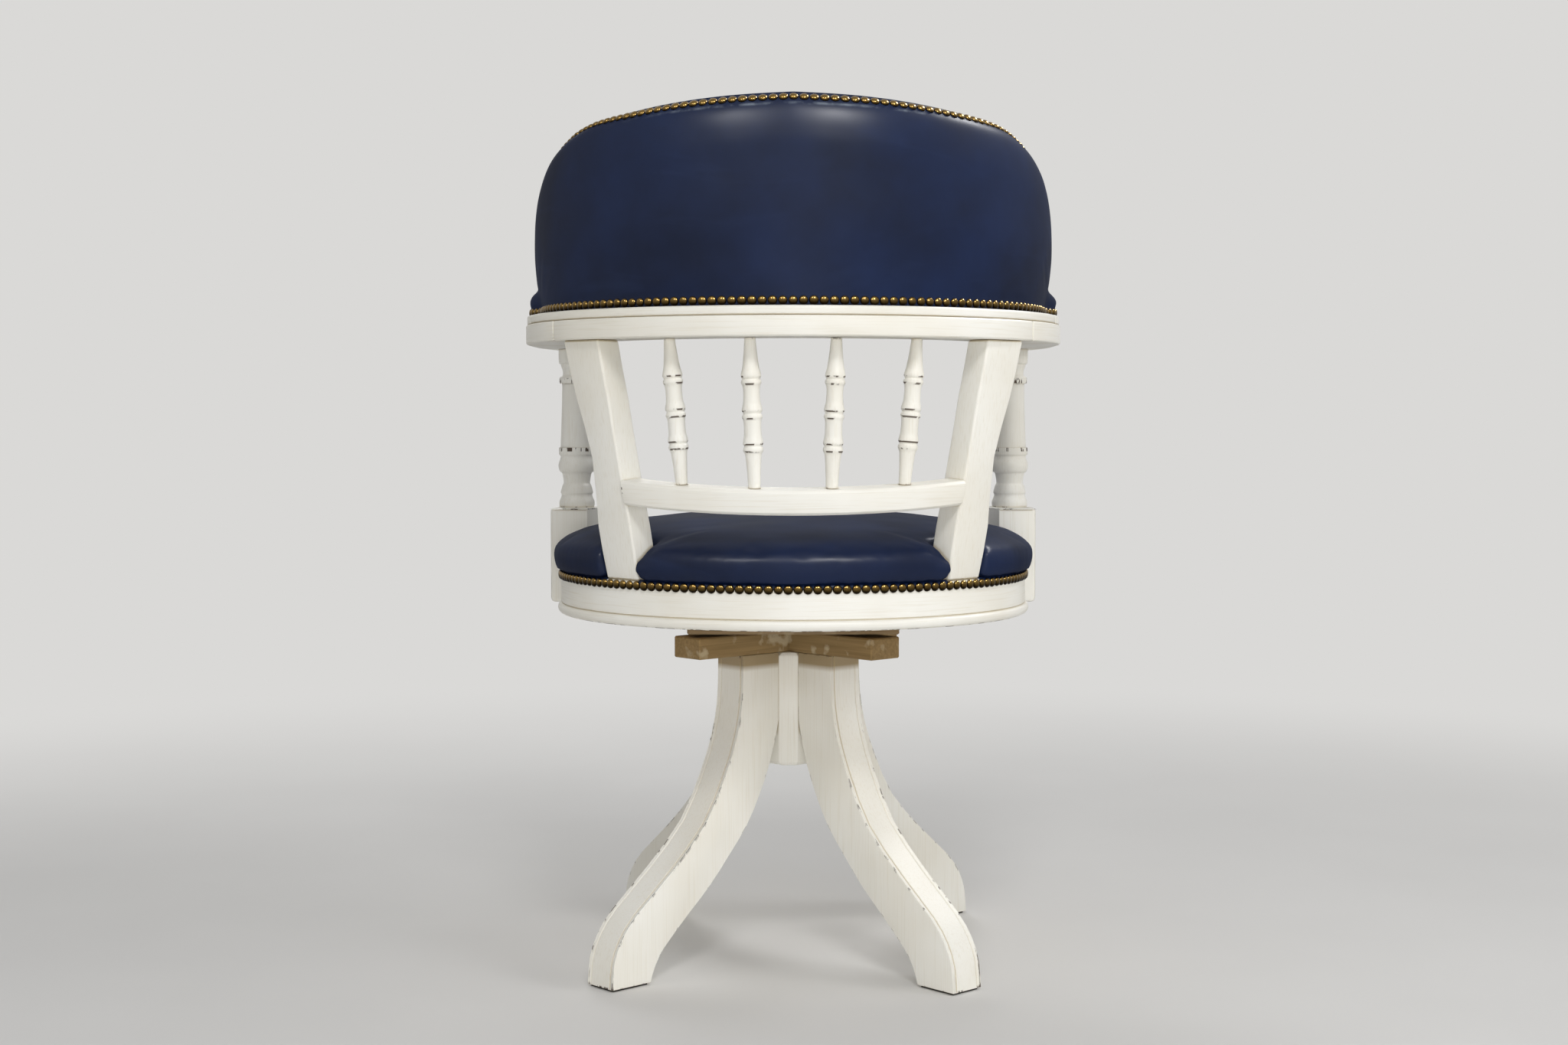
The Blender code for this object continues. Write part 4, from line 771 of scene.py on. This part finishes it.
# The lump at the wing's foot: height, and how far it swells out, from and to these places
LUMP = ((0.0, 0.0143), (0.009, 0.0148), (0.014, 0.0150), (0.020, 0.0138), (0.025, 0.0095),
        (0.0285, 0.0040), (0.031, 0.0), (0.300, 0.0))
LUMP_FROM, LUMP_FULL = 0.395, 0.432
OUTER_POINTS, INNER_POINTS, HIDDEN_POINTS = 48, 52, 24

def back_rise(along):
    share = smooth_value(TOP_LINE, abs(along) / WING_LENGTH)
    return WING_RISE + (BACK_RISE - WING_RISE) * share


def ridge_height(along):
    return NAIL_LIP + RIDGE_SHARE * (back_rise(along) - NAIL_LIP)


def outer_section(along):
    """A closed line round the outer hide: up its face, over the ridge and down the shell."""
    rise, ridge = back_rise(along), ridge_height(along)
    low = min(1.0, (rise - NAIL_LIP) / FULL_TURN)
    face = [(FACE_FOOT, 1.0 * MM), (FACE_FOOT, NAIL_LIP)]
    face += [(out, NAIL_LIP + up * (rise - NAIL_LIP)) for out, up in OUTER_SIDE]
    face += [(out, ridge - deep * low) for out, deep in OUTER_TURN]
    seam = SEAM + SEAM_GAP
    face = even(smooth_line(face, 8) + [(seam, ridge - 0.6 * MM), (seam, ridge - 4 * MM)], OUTER_POINTS)
    swell = ease_in(abs(along), LUMP_FROM, LUMP_FULL)
    face = [(out + swell * smooth_value(LUMP, up), up) for out, up in face]
    top = SHELL_TOP * rise + OVER_SHELL
    hidden = even([(seam, ridge - 5 * MM), (seam, top), (SHELL_OUT, top), (SHELL_OUT, ON_BOARD),
                   (FACE_FOOT - 1 * MM, ON_BOARD)], HIDDEN_POINTS)
    return [on_rail(along, out, up) for out, up in face + hidden]


STATIONS = [WING_LENGTH * step / 84 for step in range(-84, 85)]
back_outside = skin("back_outside_leather", [outer_section(along) for along in STATIONS], leather)
filled(back_outside, held_rows(OUTER_POINTS + HIDDEN_POINTS, 4, 44), 2.2 * MM)
finished(back_outside, "seat", "leather_over_foam", "back_outer_panel")


# The pale line below the ridge nails: partly wear, partly a painted highlight.
PALE_DEEP, PALE_HALF, PALE_FROM, PALE_TO = 11.5 * MM, 1.6 * MM, 0.10, 0.22

def worn_and_highlit_under_nails(point):
    """The fold just below the ridge nails is made pale, most of all at the middle of the back: partly
    worn leather and partly a painted highlight.
    """
    around = math.atan2(point.x, point.y - SEAT_Y)
    along = around * RAIL_MID_R
    depth = LEATHER_FOOT + ridge_height(along) - point.z
    outside = math.hypot(point.x, point.y - SEAT_Y) > RAIL_MID_R + 4 * MM
    near = max(0.0, 1 - abs(depth - PALE_DEEP) / PALE_HALF)
    return near * (1 - ease_in(abs(along), PALE_FROM, PALE_TO)) if outside else 0.0


mark_worn_and_sheen(back_outside, worn_and_highlit_under_nails)

# %% [markdown]
# The inside of the back is a thicker pad. Its top rolls over beside the ridge, a little higher than the
# outside, and shows as a thin dark line above the nails. It bulges inward over the edge of the board.

# %% Inside of the back
INNER_FACE = ((-0.0190, 0.95), (-0.0310, 0.80), (-0.0385, 0.50), (-0.0385, 0.22), (-0.0335, 0.07))
# The roll at the top: millimetres in from the seam, and up from the ridge
INNER_ROLL = ((-0.2, -3.0), (-0.9, 1.2), (-4.5, 3.2), (-9.0, 1.2))
INNER_FOOT = -0.0292
SLACK = 4.0 * MM         # the hide is drawn this much slimmer, because the filling swells it

def inner_section(along):
    """A closed line round the inner hide: over the ridge, down its face and up the shell."""
    rise, ridge = back_rise(along), ridge_height(along)
    face = [(SEAM + out * MM, ridge + up * MM) for out, up in INNER_ROLL]
    face += [(out + SLACK * math.sin(math.pi * up) ** 0.5, NAIL_LIP + up * (rise - NAIL_LIP))
             for out, up in INNER_FACE]
    face = even(smooth_line(face, 8) + [(INNER_FOOT, NAIL_LIP), (INNER_FOOT, 1.0 * MM)], INNER_POINTS)
    top, seam = SHELL_TOP * rise + OVER_SHELL, SEAM - SEAM_GAP
    hidden = even([(INNER_FOOT + 1 * MM, ON_BOARD), (SHELL_IN, ON_BOARD), (SHELL_IN, top), (seam, top),
                   (seam, ridge - 4 * MM)], HIDDEN_POINTS)
    return [on_rail(along, out, up) for out, up in face + hidden]


back_inside = skin("back_inside_leather", [inner_section(along) for along in STATIONS], leather)
filled(back_inside, held_rows(INNER_POINTS + HIDDEN_POINTS, 4, 47), 6 * MM, waves=0.8 * MM)
finished(back_inside, "seat", "leather_over_foam", "back_cushion")

# %% [markdown]
# Each arm pad is a low loaf on the arm, with a round end. Its foot is set in a little, so its nails fit
# on the board, and the leather bulges over them.

# %% Arm pads
# Out from the rail's middle, and up from the board
PAD_SIDE = ((0.0293, 0.0008), (0.0295, 0.0085), (0.0328, 0.0135), (0.0335, 0.0180), (0.0312, 0.0262),
            (0.0225, 0.0340), (0.0110, 0.0370), (0.0, 0.0378))
PAD_INNER = -0.97        # the inner side is a little slimmer than the outer
PAD_BOTTOM = ((-0.0275, 0.0003), (0.0280, 0.0003))
PAD_POINTS, BOTTOM_POINTS = 44, 14
PAD_ROWS, END_ROWS, END_STEP, END_REACH = 46, 12, 7.3, 0.0325

def pad_section(along, width):
    """A closed line round the pad. Towards the arm's end it gets narrower and a little lower."""
    outer = smooth_line(PAD_SIDE, 5)
    line = even(outer + [(PAD_INNER * out, up) for out, up in reversed(outer[:-1])], PAD_POINTS)
    low = 0.40 + 0.60 * width
    squeezed = [(out * max(width, 0.06), NAIL_LIP + (up - NAIL_LIP) * low if up > NAIL_LIP else up)
                for out, up in line + even(PAD_BOTTOM, BOTTOM_POINTS)]
    return [on_rail(along, out, up) for out, up in squeezed]


for side, word in ((1, "left"), (-1, "right")):
    start = WING_LENGTH + 1.0 * MM
    rows = [(start + (ARM_END - start) * step / PAD_ROWS, 1.0) for step in range(PAD_ROWS + 1)]
    for step in range(1, END_ROWS + 1):
        angle = math.radians(END_STEP * step)
        rows.append((ARM_END + END_REACH * math.sin(angle), math.cos(angle)))
    sections = [pad_section(side * along, width) for along, width in rows]
    pad = skin(f"arm_pad_{word}_leather", sections, leather)
    filled(pad, held_rows(PAD_POINTS + BOTTOM_POINTS, 6, 37), 2.5 * MM, waves=0.4 * MM)
    finished(pad, "seat", "leather_over_foam", f"arm_pad_{word}")

# %% [markdown]
# The seat is a round, domed cushion with two notches, where the rear posts pass through it, and two
# more for the blocks of the front posts. It is turned as one form, the notches are cut, and the
# remesher then lays an even net over it for the cloth solver.

# %% Seat cushion
SIT = RIM_HIGH + 0.3 * MM
# A rear post by its share of the way up: the edges of its face, across the post
POST_EDGES = ((0.00, -0.0326, 0.0178), (0.11, -0.0316, 0.0222), (0.22, -0.0294, 0.0251),
              (0.35, -0.0250, 0.0235))
POST_TALL, POST_LEAN, POST_BACK, POST_DEEP = 0.2568, 0.0326, 0.2674, 0.0295
BEYOND = 0.05            # the notch is open to the back
BLOCK_HALF, BLOCK_LEVELS = 30.5 * MM, (0.38, 0.53)

def post_notch(side):
    """What a rear post takes out of the cushion: its own section, open to the back."""
    normal, along = Vector((side, 1, 0)) / math.sqrt(2), Vector((side, -1, 0)) / math.sqrt(2)
    rings = []
    for share in (-0.06, 0.0, 0.11, 0.22, 0.35):
        inner, outer = (smooth_value(POST_EDGES, max(share, 0.0), column) for column in (1, 2))
        back = POST_BACK + share * POST_LEAN
        corners = ((back + BEYOND, inner), (back + BEYOND, outer), (back - POST_DEEP, outer),
                   (back - POST_DEEP, inner))
        rings.append([normal * out + along * across + Vector((0, SEAT_Y, SIT + share * POST_TALL))
                      for out, across in corners])
    return skin("notch", rings, leather)


def block_notch(side):
    """What the block of a front post takes out of it."""
    corners = [(x * BLOCK_HALF, y * BLOCK_HALF) for x, y in ((-1, -1), (1, -1), (1, 1), (-1, 1))]
    return skin("notch", [[(side * FRONT_X + x, SEAT_Y - FRONT_Y + y, z) for x, y in corners]
                          for z in BLOCK_LEVELS], leather)


def cut_away(piece, *cutters):
    """Cut these forms out of a piece, and throw them away."""
    for cutter in cutters:
        boolean = piece.modifiers.new("cut", "BOOLEAN")
        boolean.object = cutter
        boolean.solver = "EXACT"
    apply_all(piece)
    for cutter in cutters:
        bpy.data.objects.remove(cutter)


# The drawn shape is about 3 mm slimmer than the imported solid, because the filling swells it.
# Up from where the cushion sits, and out from the seat's middle
SEAT_SIDE = ((0.0630, 0.0), (0.0618, 0.075), (0.0584, 0.130), (0.0538, 0.180), (0.0495, 0.220),
             (0.0440, 0.247), (0.0375, 0.2640), (0.0310, 0.2728), (0.0240, 0.2764), (0.0160, 0.2768),
             (0.0090, 0.2758), (0.0040, 0.2742), (0.0, 0.2722))
ON_PANEL, PLUG_R = 0.3972 + 12.6 * MM, 0.2125    # inside the ring, the cushion lies on the panel
seat_side = smooth_line([(SIT + up, radius) for up, radius in SEAT_SIDE], 6)
underside = [(ON_PANEL, 0.0), (ON_PANEL, PLUG_R), (SIT, PLUG_R)]
seat = turned("seat_leather", underside + seat_side[::-1], leather, steps=120)
seat.data.transform(Matrix.Translation((0, SEAT_Y, 0)))
cut_away(seat, post_notch(1), post_notch(-1), block_notch(1), block_notch(-1))
remesh = seat.modifiers.new("net", "REMESH")
remesh.mode = "VOXEL"
remesh.voxel_size = 6 * MM
evened = seat.modifiers.new("even", "SMOOTH")
evened.factor, evened.iterations = 0.5, 6
apply_all(seat)


def surface_of(*pieces):
    """The faces of the pieces as one surface that can be asked for its nearest point."""
    points, faces = [], []
    for piece in pieces:
        faces += [[len(points) + i for i in face.vertices] for face in piece.data.polygons]
        points += [point.co.copy() for point in piece.data.vertices]
    return BVHTree.FromPolygons(points, faces)


posts = surface_of(*[bpy.data.objects[name] for name in (
    "rear_post_left_painted", "rear_post_right_painted",
    "front_post_left_turned", "front_post_right_turned")])


def near_post(place, close, far):
    """1 beside a post, and 0 from some way off."""
    distance = posts.find_nearest(place, 0.05)[3]
    return 0.0 if distance is None else 1.0 - ease_in(distance, close, far)


# The net follows its small cubes a little. Away from the posts its points go back to the turned line.
turned_line = even(seat_side, 400)
for point in seat.data.vertices:
    flat = Vector((point.co.x, point.co.y - SEAT_Y, 0))
    far = flat.length
    height, radius = min(turned_line, key=lambda p: (p[0] - point.co.z) ** 2 + (p[1] - far) ** 2)
    gap = math.hypot(height - point.co.z, radius - far)
    if gap < 4 * MM and point.co.z > SIT - 1 * MM:
        goal = flat.normalized() * radius + Vector((0, SEAT_Y, height))
        point.co = point.co.lerp(goal, 1.0 - near_post(point.co, 3 * MM, 10 * MM))

# Between the posts the leather is drawn in and down beside each post.
POSTS_AT = 44.5          # degrees from the back
DRAWN_IN, DRAWN_DOWN = 10 * MM, 3 * MM
for point in seat.data.vertices:
    x, y, up = point.co.x, point.co.y - SEAT_Y, point.co.z - SIT
    if abs(math.degrees(math.atan2(x, y))) < POSTS_AT and up > 0:
        drawn = near_post(point.co, 1 * MM, 34 * MM) * ease_in(up, 11 * MM, 34 * MM)
        drawn *= ease_in(math.hypot(x, y), 0.185, 0.264)
        inward = Vector((x, y, 0)).normalized() * (DRAWN_IN * drawn)
        point.co -= inward + Vector((0, 0, DRAWN_DOWN * drawn))


def seat_held(point):
    return max(near_post(point.co, 2.5 * MM, 16 * MM), 1.0 if point.co.z < SIT + 3 * MM else 0.0)


filled(seat, seat_held, 6 * MM, waves=0.8 * MM)
finished(seat, "seat", "leather_over_foam", "seat_cushion")

# %% [markdown]
# The seat's leather is turned under at its edge and lies on the ring for a few millimetres. The nails
# go through this strip. The posts stand on bare ring, so the strip stops at both sides of each.

# %% Turned-under edge of the seat's leather
# Millimetres up from the ring's top, and out from its face
TURNED_UNDER = ((-5.4, -0.3), (-5.4, 0.6), (-2.4, 0.7), (-0.2, -0.2), (1.3, -2.4), (0.3, -3.4),
                (-1.4, -1.5))
cover_edge = turned("seat_leather_edge", off_rim(RIM_HIGH, TURNED_UNDER), leather, steps=144,
                    closed=True)
cover_edge.data.transform(Matrix.Translation((0, SEAT_Y, 0)))
cut_away(cover_edge, post_notch(1), post_notch(-1), block_notch(1), block_notch(-1))
smooth_over(cover_edge, 50)
finished(cover_edge, "seat", "leather_over_foam")

# %% [markdown]
# Upholstery nails have a domed head, stamped from sheet, with a short rim. One head is shaped from the
# upper half of a sphere. Every nail is a copy, driven by hand: each leans a little and differs a little
# in size. The rows have several hundred heads, so each head has only about fifty faces.

# %% One nail
NAIL_R, NAIL_FLAT, NAIL_RIM = 5.15 * MM, 0.60, 0.7 * MM
LEAN, SMALLEST, LARGEST = math.radians(2.5), 0.96, 1.02
bpy.ops.object.select_all(action="DESELECT")
bpy.ops.mesh.primitive_uv_sphere_add(segments=12, ring_count=8, radius=NAIL_R, location=(0, 0, 0))
nail = bpy.context.object
edit(nail)
pick_points(nail, lambda p: p.co.z < -0.1 * MM)
bpy.ops.mesh.delete(type="VERT")
bpy.ops.mesh.select_all(action="SELECT")
bpy.ops.transform.resize(value=(1, 1, NAIL_FLAT), center_override=(0, 0, 0))
pick_points(nail, lambda p: p.co.z < 0.1 * MM)
bpy.ops.mesh.extrude_region_move(TRANSFORM_OT_translate={"value": (0, 0, -NAIL_RIM)})
bpy.ops.mesh.edge_face_add()
bpy.ops.mesh.select_all(action="SELECT")
bpy.ops.mesh.normals_make_consistent(inside=False)
bpy.ops.object.mode_set(mode="OBJECT")
nail.data.materials.append(brass)
chance = random.Random(11)
print("one nail has", len(nail.data.polygons), "faces")


def nail_row(name, spots):
    """Drive a nail at each of these places, facing as the surface does there."""
    heads = []
    for point, normal in spots:
        head = new_object(name, nail.data.copy())
        lean = Matrix.Rotation(chance.gauss(0, LEAN), 4, "X")
        lean @= Matrix.Rotation(chance.gauss(0, LEAN), 4, "Y")
        facing = Vector(normal).to_track_quat("Z", "Y").to_matrix().to_4x4()
        size = Matrix.Scale(chance.uniform(SMALLEST, LARGEST), 4)
        head.data.transform(Matrix.Translation(point) @ facing @ lean @ size)
        heads.append(head)
    only(*heads)
    bpy.ops.object.join()
    smooth_over(heads[0], 50)
    return heads[0]


# %% [markdown]
# The nails of the seat sit on the upper edge of the ring, 10.35 mm apart as measured in the photo, and
# stop at the blocks of the front posts.

# %% Nails of the seat
SEAT_PITCH, BACK_PITCH = 10.35 * MM, 10.65 * MM
spots = []
for first, last in ((-111.0, 111.0), (121.3, 238.7)):
    count = round(math.radians(last - first) * RIM_R / SEAT_PITCH)
    for step in range(count + 1):
        angle = first + (last - first) * step / count
        outward = seat_polar(1.0, angle, 0) - seat_polar(0.0, angle, 0)
        spots.append((seat_polar(RIM_R + 0.5 * MM, angle, RIM_HIGH - 5.0 * MM), outward))
row = nail_row("seat_nail_row", spots)
finished(row, "seat", "antique_brass", "seat_nails_back", "seat_nails_front")
print(len(spots), "nails round the seat")

# %% [markdown]
# The other rows lie on leather that was shaped by its filling, so their places are found by looking at
# the leather from outside: a ray towards it gives the place and the direction in which it faces there.

# %% Nails of the back and the arms
def on_leather(piece, rays, pitch):
    """Nail places along the line where these rays meet the piece."""
    surface = surface_of(piece)
    line = []
    for origin, direction in rays:
        hit = surface.ray_cast(origin, direction, 0.2)
        if hit[0] is not None:
            line.append(hit[0])
    length = sum(math.dist(a, b) for a, b in zip(line, line[1:]))
    spots = []
    for place in even(line, round(length / pitch) + 1):
        found = surface.find_nearest(Vector(place))
        spots.append((found[0], found[1]))
    return spots


def level_rays(start, end, out, up, count=400):
    """Rays across the rail, inward from outside where out is positive."""
    rays = []
    for step in range(count + 1):
        along = start + (end - start) * step / count
        outward = rail_line(along)[1]
        rays.append((on_rail(along, out, up), outward * (-1 if out > 0 else 1)))
    return rays


NAIL_UP, CLEAR = 5.3 * MM, 0.08          # the rays start well clear of the leather
reach = WING_LENGTH - 4 * MM
for name, piece, out, solids in (("back_nail_row", back_outside, CLEAR, ("back_nails",)),
                                 ("back_inside_nail_row", back_inside, -CLEAR, ())):
    places = on_leather(piece, level_rays(-reach, reach, out, NAIL_UP), BACK_PITCH)
    finished(nail_row(name, places), "seat", "antique_brass", *solids)

# Along the shoulders the ridge nails turn over, from leaning outward to facing up.
OVER_FROM, OVER_FULL, LEANS, TURNS = 0.16, 0.30, 52, 34
ridge_rays = []
for step in range(-300, 301):
    along = reach * step / 300
    outward = rail_line(along)[1]
    over = ease_in(abs(along), OVER_FROM, OVER_FULL)
    lift = math.radians(LEANS + TURNS * over)
    facing = outward * math.cos(lift) + Vector((0, 0, math.sin(lift)))
    target = on_rail(along, (7.5 - 7.7 * over) * MM, ridge_height(along) - (5.0 - 2.0 * over) * MM)
    ridge_rays.append((target + facing * 0.05, -facing))
places = on_leather(back_outside, ridge_rays, BACK_PITCH)
finished(nail_row("ridge_nail_row", places), "seat", "antique_brass", "ridge_nails")

END_RAYS = 60
for side, word in ((1, "left"), (-1, "right")):
    start, end = side * (WING_LENGTH + 5 * MM), side * ARM_END
    rays = level_rays(start, end, CLEAR, NAIL_UP, 150)
    outward = rail_line(end)[1]
    forward = Vector((side * outward.y, -side * outward.x, 0))
    for step in range(1, END_RAYS):
        angle = math.pi * step / END_RAYS
        away = outward * math.cos(angle) + forward * math.sin(angle)
        rays.append((on_rail(end, 0, NAIL_UP) + away * CLEAR, -away))
    rays += level_rays(end, start, -CLEAR, NAIL_UP, 150)
    places = on_leather(bpy.data.objects[f"arm_pad_{word}_leather"], rays, BACK_PITCH)
    finished(nail_row(f"arm_nail_row_{word}", places), "seat", "antique_brass")
bpy.data.objects.remove(nail)
print("nail rows done")

# %% [markdown]
# The light is that of a plain studio: soft lamps in front, above and at the side, and a pale surround.
# Three strips of light only show as reflections, as a photographer's strips do on a dark, shiny thing.
# Two of them leave the pair of soft highlights on the leather, and one the band on its right shoulder.

# %% Floor, lamps and surround
bpy.ops.object.select_all(action="DESELECT")
bpy.ops.mesh.primitive_plane_add(size=14, location=(0, 0, 0))
floor = bpy.context.object
floor.name = "floor"
PALE = colour("#DAD9D7")
floor_finish, put, shader, place = new_finish("pale_floor", Roughness=0.9)
dust = put("TexNoise", {"Scale": 3.0}, {"Vector": place})
matt = put("Mix", {6: "#D6D5D3", 7: "#DDDCDA"}, {0: dust})
feed(shader, Base_Color=matt)
# Past about a metre the floor fades, to the camera only, into the tone of the surround.
away = put("VectorMath", {"operation": "LENGTH"}, {0: place})
far = put("MapRange", {"From Min": 0.9, "From Max": 2.6, "interpolation_type": "SMOOTHSTEP"},
          {"Value": away})
to_camera = put("LightPath")
fade = put("Math", {"operation": "MULTIPLY"}, {0: far, 1: to_camera})
plain = put("Emission", {"Color": PALE, "Strength": 1.0})
mixed = put("MixShader", None, {0: fade, 1: shader.outputs[0], 2: plain})
feed(floor_finish.node_tree.nodes["Material Output"], Surface=mixed)
floor.data.materials.append(floor_finish)


def lamp(name, place, target, size, power, mirrored=False):
    """A soft lamp, or a strip that is only mirrored."""
    light = bpy.data.lights.new(name, "AREA")
    light.shape = "RECTANGLE"
    light.size, light.size_y = size
    light.energy = power
    holder = new_object(name, light)
    holder.location = place
    holder.rotation_euler = (Vector(target) - Vector(place)).to_track_quat("-Z", "Y").to_euler()
    holder.visible_glossy = mirrored
    holder.visible_diffuse = not mirrored


lamp("lamp_top", (-0.25, 2.4, 2.7), (0, 0, 0.6), (0.7, 0.5), 25)
lamp("lamp_side", (-2.4, 0.9, 1.6), (0, 0, 0.6), (0.9, 0.9), 17)
lamp("lamp_low", (-0.2, 3.2, 0.5), (0, 0, 0.35), (1.6, 0.9), 28)
lamp("lamp_front", (0.6, -2.6, 2.2), (0, 0, 0.5), (1.2, 1.2), 24)
lamp("strip_left", (1.2, 2.4, 2.7), (0, 0, 0.9), (0.60, 0.25), 36, mirrored=True)
lamp("strip_right", (-0.85, 2.4, 2.75), (0, 0, 0.9), (0.50, 0.25), 68, mirrored=True)
lamp("strip_rim", (-1.75, -0.9, 2.65), (0, 0, 0.9), (0.60, 0.40), 80, mirrored=True)
lamp("strip_front", (0.6, -2.6, 2.2), (0, 0, 0.5), (0.9, 0.6), 24, mirrored=True)

world = bpy.data.worlds.new("studio")
bpy.context.scene.world = world
world.use_nodes = True
world.node_tree.nodes.clear()
put = partial(add, world.node_tree)
rays = put("LightPath").node.outputs
seen = rays["Is Camera Ray"]
for kind in ("Is Transmission Ray", "Is Glossy Ray"):
    seen = put("Math", {"operation": "MAXIMUM"}, {0: seen, 1: rays[kind]})
fill = put("Background", {"Color": (1, 1, 1, 1), "Strength": 0.36})
backdrop = put("Background", {"Color": PALE, "Strength": 1.0})
surround = put("MixShader", None, {0: seen, 1: fill, 2: backdrop})
put("OutputWorld", None, {"Surface": surround})
bpy.context.scene.view_settings.view_transform = "Standard"
print("lamps:", len(bpy.data.lights))

# %% [markdown]
# What is left of the solids keeps its own shape, and only needs its finish.

# %% Finishes for the solids that stay
def refinish(finish, *nodes):
    """Give solids their finish, and leave their shape alone."""
    for node in nodes:
        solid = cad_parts[node]
        solid.data.materials.clear()
        solid.data.materials.append(finish)


refinish(cross_a_wood, "cross_beam_a")
refinish(cross_b_wood, "cross_beam_b")
refinish(board_wood, "mounting_board", *[f"leg_tenon_{n}" for n in (1, 2, 3, 4)])
refinish(ply_wood, "seat_panel", "back_shell")
refinish(steel, "swivel_spindle", "spindle_washer", "spindle_nut", "swivel_plate",
         *[f"cross_screw_{n}" for n in (1, 2, 3, 4)])
refinish(bronze, "upper_bush", "lower_bush", "thrust_washer")
refinish(felt, *[f"foot_pad_{n}" for n in (1, 2, 3, 4)])
print("refinished")
